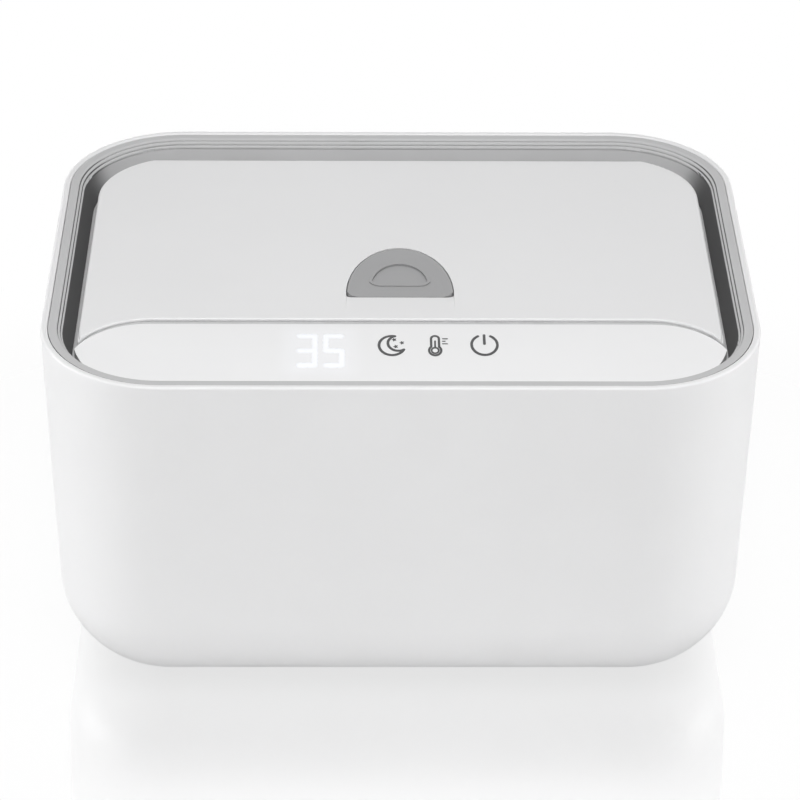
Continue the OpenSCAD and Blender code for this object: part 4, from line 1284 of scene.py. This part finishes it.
@dataclass
class Readout:
    """The two lit digits, each in strokes of a seven-part figure."""

    panel: PanelPrint
    left: tuple[float, float] = (-31.2, -22.95)
    width: float = 4.95
    rows: tuple[float, float, float] = (-45.5, -53.1, -60.1)
    stroke_x: tuple[float, float] = (0.75, 2.3)
    stroke_y: tuple[float, float] = (0.9, 2.9)
    inset: float = 0.45
    height: float = 0.17
    lit: tuple[str, str] = ("abgcd", "afgcd")

    def build(self) -> None:
        """Builds one piece for each digit."""
        for name, left, strokes in zip(("digit.tens", "digit.units"), self.left, self.lit):
            mesh = bmesh.new()
            right = left + self.width
            top, middle, low = self.rows
            near, far = left + self.inset, right - self.inset
            ends = {"a": ((near, top), (far, top)), "g": ((near, middle), (far, middle)),
                    "d": ((near, low), (far, low)), "b": ((right, top), (right, middle)),
                    "c": ((right, middle), (right, low)), "f": ((left, top), (left, middle)),
                    "e": ((left, middle), (left, low))}
            for letter in strokes:
                widths = self.stroke_y if letter in "agd" else self.stroke_x
                self.panel.ridge(mesh, *ends[letter], widths, self.height)
            self.panel.drape(mesh)
            finish_piece(name, mesh, "base", Slot.WHITE_PANEL, material_of(LIT))


@dataclass
class KeyMarks:
    """The moon, the thermometer and the power sign, printed over the touch springs."""

    panel: PanelPrint
    moon_at: tuple[float, float] = (-2.7, -50.3)
    moon_r: float = 4.0
    moon_stretch: float = 1.23
    bite_at: tuple[float, float] = (0.471, 0.2245)
    bite_r: float = 0.79
    stars: tuple[tuple[float, float], ...] = ((-2.05, -47.4), (0.3, -49.0), (-1.6, -50.95))
    star_r: float = 0.85
    tube_x: float = 10.42
    tube_half: float = 1.2
    tube_top: float = -46.9
    bulb_at: tuple[float, float] = (10.4, -52.9)
    bulb_r: float = 1.85
    ticks: tuple[tuple[float, float], ...] = ((-46.85, 1.3), (-48.2, 0.6), (-49.5, 1.3))
    tick_gap: float = 2.4
    tick_w: float = 0.55
    tube_line: float = 0.731
    core_line: float = 0.5848
    drop_share: float = 0.58
    core_gap: tuple[float, float] = (1.2, 0.1)
    power_at: tuple[float, float] = (25.5, -49.95)
    power_r: float = 3.93
    power_ring: tuple[float, float] = (119.0, 302.0)
    power_bar: tuple[float, float] = (5.1, 0.4)
    stroke: float = 0.86
    stretch: float = 1.3

    def build(self) -> None:
        """Builds one piece for each mark."""
        for name, draw in (("mark.moon", self.moon), ("mark.thermometer", self.thermometer),
                           ("mark.power", self.power)):
            mesh = bmesh.new()
            draw(mesh)
            self.panel.lay(mesh)
            finish_piece(name, mesh, "base", Slot.WHITE_PANEL, material_of(PRINT))

    def moon(self, mesh: bmesh.types.BMesh) -> None:
        """Draws the crescent and its three stars.

        Args:
            mesh: the drawing.
        """
        reach = math.hypot(*self.bite_at)
        toward = math.degrees(math.atan2(self.bite_at[1], self.bite_at[0]))
        across = (1 - self.bite_r ** 2 + reach ** 2) / (2 * reach)
        tip = math.degrees(math.acos(across))
        self.panel.arc(mesh, self.moon_at, self.moon_r, toward + tip, 360 - 2 * tip, self.stroke,
                       self.moon_stretch)
        inner = math.degrees(math.acos((reach - across) / self.bite_r))
        centre = (self.moon_at[0] + self.bite_at[0] * self.moon_r,
                  self.moon_at[1] + self.bite_at[1] * self.moon_r * self.moon_stretch)
        self.panel.arc(mesh, centre, self.bite_r * self.moon_r, toward + 180 - inner, 2 * inner,
                       self.stroke, self.moon_stretch)
        for place in self.stars:
            self.panel.star(mesh, place, self.star_r, self.moon_stretch)

    def thermometer(self, mesh: bmesh.types.BMesh) -> None:
        """Draws the tube, the bulb, the column and the three ticks.

        Args:
            mesh: the drawing.
        """
        line, x, half = self.tube_line, self.tube_x, self.tube_half
        open_at = math.degrees(math.acos(half / self.bulb_r))
        neck = self.bulb_at[1] + self.bulb_r * self.stretch * math.sin(math.radians(open_at))
        self.panel.arc(mesh, (x, self.tube_top), half, 0, 180, line, self.stretch)
        for side in (-half, half):
            self.panel.bar(mesh, (x + side, self.tube_top), (x + side, neck), line)
        self.panel.arc(mesh, self.bulb_at, self.bulb_r, 180 - open_at, 180 + 2 * open_at, line,
                       self.stretch)
        self.panel.arc(mesh, self.bulb_at, self.bulb_r * self.drop_share, 0, 360, self.core_line,
                       self.stretch)
        above, below = self.core_gap
        self.panel.bar(mesh, (x, self.tube_top - above), (x, neck - below), self.core_line)
        for y, length in self.ticks:
            tick = x + self.tick_gap
            self.panel.bar(mesh, (tick, y), (tick + length, y), self.tick_w)

    def power(self, mesh: bmesh.types.BMesh) -> None:
        """Draws the open ring and the bar in its gap.

        Args:
            mesh: the drawing.
        """
        self.panel.arc(mesh, self.power_at, self.power_r, *self.power_ring, self.stroke,
                       self.stretch)
        x, y = self.power_at
        top, low = self.power_bar
        self.panel.bar(mesh, (x, y + top), (x, y + low), self.stroke)


# ---------------------------------------------------------------------------------------------
# The sub-assemblies
# ---------------------------------------------------------------------------------------------


@dataclass
class SubAssembly:
    """CAD nodes and new pieces that belong together on the bench."""

    frame: dict
    nodes: tuple[str, ...] = ()
    screws: tuple[Screws, ...] = ()
    sharp_angle: float = 30.0

    def build(self) -> None:
        """Builds the new pieces. The screws come first."""
        for screws in self.screws:
            screws.build()

    def dress(self) -> None:
        """Shades each CAD node softly and gives it the finish of its slot."""
        slots = {row["node"]: row["material_slot"] for row in self.frame["record"]["subparts"]}
        for node in self.nodes:
            obj = self.frame["nodes"][node]
            obj.data.materials.clear()
            obj.data.materials.append(SLOT_BY_NAME[slots[node]].material())
            soften(obj, self.sharp_angle)
            log.info("%s: %s has the finish %s", type(self).__name__, node, slots[node])


@dataclass
class Tub(SubAssembly):
    """The white tub, the cover of its underside and the four feet."""

    nodes: tuple[str, ...] = ("outer_shell", "bottom_cover")
    screws: tuple[Screws, ...] = (Screws("cover_screws", "base", Head.DOWN),)
    foot_r: float = 7.0
    foot_h: float = 2.2
    foot_hollow: float = 0.45
    ring_in: float = 3.4
    foot_steps: int = 56

    def build(self) -> None:
        """Builds the screws and the feet."""
        super().build()
        self.feet()

    def feet(self) -> None:
        """Builds round rubber feet, each with a raised ring that stands on the table."""
        mesh = bmesh.new()
        r, h, ring, hollow = self.foot_r, self.foot_h, self.ring_in, self.foot_hollow
        profile = [(0.0, hollow), (ring - 0.9, hollow), (ring - 0.45, 0.3), (ring - 0.1, 0.06),
                   (ring + 0.15, 0.0), (r - 1.1, 0.0), (r - 0.62, 0.06), (r - 0.25, 0.3),
                   (r - 0.05, 0.75), (r, 1.1), (r, h - 0.01), (r - 0.01, h), (0.0, h)]
        for low, high in islands("rubber_feet", 12.0):
            middle = (low + high) / 2
            turn_profile(mesh, profile, self.foot_steps,
                         Matrix.Translation((middle.x, middle.y, low.z)))
        finish_piece("feet", mesh, "base", Slot.FOOT_RUBBER, replaces=("rubber_feet",))


@dataclass
class Ring(SubAssembly):
    """The grey ribbed ring in the tub's mouth."""

    nodes: tuple[str, ...] = ("trim_ring",)


@dataclass
class Tank(SubAssembly):
    """The well for the wipes, with the steel strip that the catch holds on to."""

    nodes: tuple[str, ...] = ("inner_tank", "latch_keeper")
    screws: tuple[Screws, ...] = (Screws("tank_screws", "base", Head.UP),)


@dataclass
class Hinge(SubAssembly):
    """The two pins and the two springs that lift the lid."""

    nodes: tuple[str, ...] = ("hinge_pins", "hinge_springs")
    sharp_angle: float = 50.0


@dataclass
class Lid(SubAssembly):
    """The flat lid, its liner and its seal."""

    nodes: tuple[str, ...] = ("lid_shell", "lid_liner", "lid_gasket")
    screws: tuple[Screws, ...] = (Screws("lid_screws", "lid", Head.DOWN),)


@dataclass
class Catch(SubAssembly):
    """The thumb button, the bolt that it pushes back, and the bolt's spring."""

    nodes: tuple[str, ...] = ("release_button", "latch_bolt", "latch_spring")


@dataclass
class TouchPanel(SubAssembly):
    """The curved panel, with the readout and the keys under it and their marks on it."""

    nodes: tuple[str, ...] = ("control_panel", "panel_seal", "display_board", "led_display",
                              "touch_springs", "display_cable")
    screws: tuple[Screws, ...] = (Screws("panel_screws", "base", Head.DOWN),
                                  Screws("display_screws", "base", Head.UP))

    def build(self) -> None:
        """Builds the screws, the digits and the marks."""
        super().build()
        panel = PanelPrint(CURVE)
        Readout(panel).build()
        KeyMarks(panel).build()


@dataclass
class Heater(SubAssembly):
    """The heater under the well, its sensors and the felt that keeps its warmth in."""

    nodes: tuple[str, ...] = ("heat_plate", "heater_mat", "heater_retainer", "thermistor",
                              "thermal_fuse", "heater_leads")
    screws: tuple[Screws, ...] = (Screws("retainer_screws", "base", Head.DOWN),)
    felt_corner: float = 4.0
    felt_edge: float = 0.9

    def build(self) -> None:
        """Builds the screws and the felt pad."""
        super().build()
        self.felt()

    def felt(self) -> None:
        """Builds the felt pad, pressed flat between the mat and its cover plate."""
        low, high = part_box("insulation_pad")
        mesh = bmesh.new()
        bmesh.ops.create_cube(mesh, size=1.0)
        bmesh.ops.scale(mesh, vec=high - low, verts=mesh.verts)
        bmesh.ops.translate(mesh, vec=(low + high) / 2, verts=mesh.verts)
        for upright, offset, segments in ((True, self.felt_corner, 6), (False, self.felt_edge, 4)):
            edges = [e for e in mesh.edges
                     if (abs(e.verts[0].co.z - e.verts[1].co.z) > MM) is upright]
            bmesh.ops.bevel(mesh, geom=edges, offset=offset * MM, offset_type="OFFSET",
                            segments=segments, profile=0.5, affect="EDGES", material=-1)
        piece = finish_piece("felt_pad", mesh, "base", Slot.INSULATION_FELT,
                             replaces=("insulation_pad",))


@dataclass
class Supply(SubAssembly):
    """The supply board, the power socket and its small board, and their leads."""

    nodes: tuple[str, ...] = ("main_board", "dc_jack", "jack_board", "dc_leads")
    screws: tuple[Screws, ...] = (Screws("board_screws", "base", Head.FRONT),
                                  Screws("jack_screws", "base", Head.UP))


# ---------------------------------------------------------------------------------------------
# The studio
# ---------------------------------------------------------------------------------------------


@dataclass
class Studio:
    """The camera, the floor, the white surroundings and the lamps."""

    eye: tuple[float, float, float] = (-11.97, -894.83, 621.22)
    tilt: float = 0.5567
    yaw: float = 0.0140
    roll: float = 0.0088
    lens: float = 145.26
    sensor: float = 36.0
    clip: tuple[float, float] = (0.01, 20.0)
    sky: float = 0.12
    wall_light: float = 0.35
    wall_top: tuple[float, float] = (0.34, 0.55)
    floor_half: float = 2.0
    footprint: tuple[float, float] = (105.0, 72.0)
    paint: float = 0.93
    shadow: float = 0.1
    shadow_fade: tuple[float, float] = (20.0, 120.0)
    under_glow: float = 0.42
    under_fade: float = 14.0
    polish: float = 0.03
    mirror: tuple[float, float] = (0.3, 0.55)
    mirror_rise: float = 26.0
    mirror_fade: tuple[float, float] = (30.0, 76.0)
    aim_at: tuple[float, float, float] = (0.0, 0.0, 0.06)
    lamps: tuple[tuple[str, tuple[float, float, float], tuple[float, float], float], ...] = (
        ("key", (0.0, -0.5, 1.25), (1.0, 1.0), 13.8),
        ("left", (-1.0, -0.05, 0.08), (0.7, 0.16), 3.9),
        ("right", (1.0, -0.05, 0.08), (0.7, 0.16), 3.4),
        ("front", (0.0, -1.0, 0.08), (0.9, 0.16), 0.3),
        ("back", (0.0, 1.0, 0.08), (0.9, 0.16), 2.4))

    def camera(self) -> None:
        """Sets the camera where the photograph was taken from."""
        data = bpy.data.cameras.new("camera")
        data.lens, data.sensor_width = self.lens, self.sensor
        data.clip_start, data.clip_end = self.clip
        ahead = Vector((math.sin(self.yaw) * math.cos(self.tilt),
                        math.cos(self.yaw) * math.cos(self.tilt), -math.sin(self.tilt)))
        right = Vector((math.cos(self.yaw), -math.sin(self.yaw), 0.0))
        up = right.cross(ahead)
        turn_c, turn_s = math.cos(self.roll), math.sin(self.roll)
        right, up = turn_c * right + turn_s * up, turn_c * up - turn_s * right
        axes = Matrix((right, up, -ahead)).transposed().to_4x4()
        obj = add_object("camera", data)
        obj.matrix_world = Matrix.Translation(Vector(self.eye) * MM) @ axes
        bpy.context.scene.camera = obj

    def surroundings(self) -> None:
        """Makes the white world: bright walls low down, and a dimmer room above them."""
        world = bpy.data.worlds.new("surroundings")
        graph = fresh_graph(world)
        path = graph.node("ShaderNodeLightPath")
        seen = graph.math("MAXIMUM", path.outputs["Is Camera Ray"],
                          graph.math("MAXIMUM", path.outputs["Is Glossy Ray"],
                                     path.outputs["Is Transmission Ray"]))
        _, _, height = graph.axes(graph.node("ShaderNodeTexCoord").outputs["Generated"])
        low, high = self.wall_top
        strength = graph.smooth(height, low, high, self.wall_light, self.sky)
        soft = graph.node("ShaderNodeBackground", {"Color": WHITE, "Strength": strength})
        bright = graph.node("ShaderNodeBackground", {"Color": WHITE, "Strength": 1.0})
        graph.node("ShaderNodeOutputWorld",
                   {"Surface": graph.blend(seen, soft, bright).outputs[0]})
        bpy.context.scene.world = world

    def floor(self) -> None:
        """Makes the white floor."""
        mesh = bmesh.new()
        bmesh.ops.create_grid(mesh, x_segments=2, y_segments=2, size=self.floor_half)
        data = bpy.data.meshes.new("floor")
        mesh.to_mesh(data)
        mesh.free()
        data.materials.append(self.floor_paint())
        add_object("floor", data)

    def floor_paint(self) -> bpy.types.Material:
        """Returns the floor's material, with a shadow and a faint reflection near the object."""
        material = bpy.data.materials.new("pale_floor")
        graph = fresh_graph(material)
        far = graph.outside((0.0, 0.0), self.footprint)
        matt = graph.node("ShaderNodeBsdfDiffuse", {"Color": (self.paint,) * 3})
        gloss = graph.node("ShaderNodeBsdfGlossy", {"Color": WHITE, "Roughness": self.polish})
        glow = graph.node("ShaderNodeEmission", {"Color": WHITE, "Strength": 1.0})
        under = graph.node("ShaderNodeEmission", {"Color": WHITE, "Strength": self.under_glow})
        clear = graph.node("ShaderNodeBsdfTransparent")

        near, end = self.shadow_fade
        shade = graph.smooth(far, near * MM, end * MM, self.shadow, 0.0)
        near, end = self.mirror_fade
        mirror = graph.math("MULTIPLY",
                            graph.smooth(far, 0.0, self.mirror_rise * MM, *self.mirror),
                            graph.smooth(far, near * MM, end * MM, 1.0, 0.0))
        seen = graph.blend(mirror, graph.blend(shade, glow, matt), gloss)
        hidden = graph.smooth(far, 0.0, self.under_fade * MM, 1.0, 0.0)
        camera = graph.node("ShaderNodeLightPath").outputs["Is Camera Ray"]
        front = graph.blend(camera, graph.blend(hidden, matt, under), seen)
        back = graph.node("ShaderNodeNewGeometry").outputs["Backfacing"]
        graph.node("ShaderNodeOutputMaterial",
                   {"Surface": graph.blend(back, front, clear).outputs[0]})
        return material

    def lights(self) -> None:
        """Sets the soft lamps: a large one above the front, and low ones round the object."""
        for name, place, size, power in self.lamps:
            data = bpy.data.lights.new(name, "AREA")
            data.shape, data.energy = "RECTANGLE", power
            data.size, data.size_y = size
            obj = add_object(name, data)
            obj.location = place
            obj.rotation_mode = "QUATERNION"
            obj.rotation_quaternion = (Vector(self.aim_at) - Vector(place)).to_track_quat("-Z", "Y")

    def build(self) -> None:
        """Builds the whole studio."""
        bpy.context.scene.view_settings.view_transform = "Standard"
        self.camera()
        self.surroundings()
        self.floor()
        self.lights()


def main() -> None:
    """Loads the frame, builds the pieces and dresses the nodes."""
    logging.basicConfig(level=logging.INFO, format="%(name)s %(message)s")
    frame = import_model()
    Studio().build()
    for kind in (Tub, Ring, Tank, Hinge, Lid, Catch, TouchPanel, Heater, Supply):
        assembly = kind(frame)
        assembly.dress()
        assembly.build()


if __name__ == "__main__":
    main()
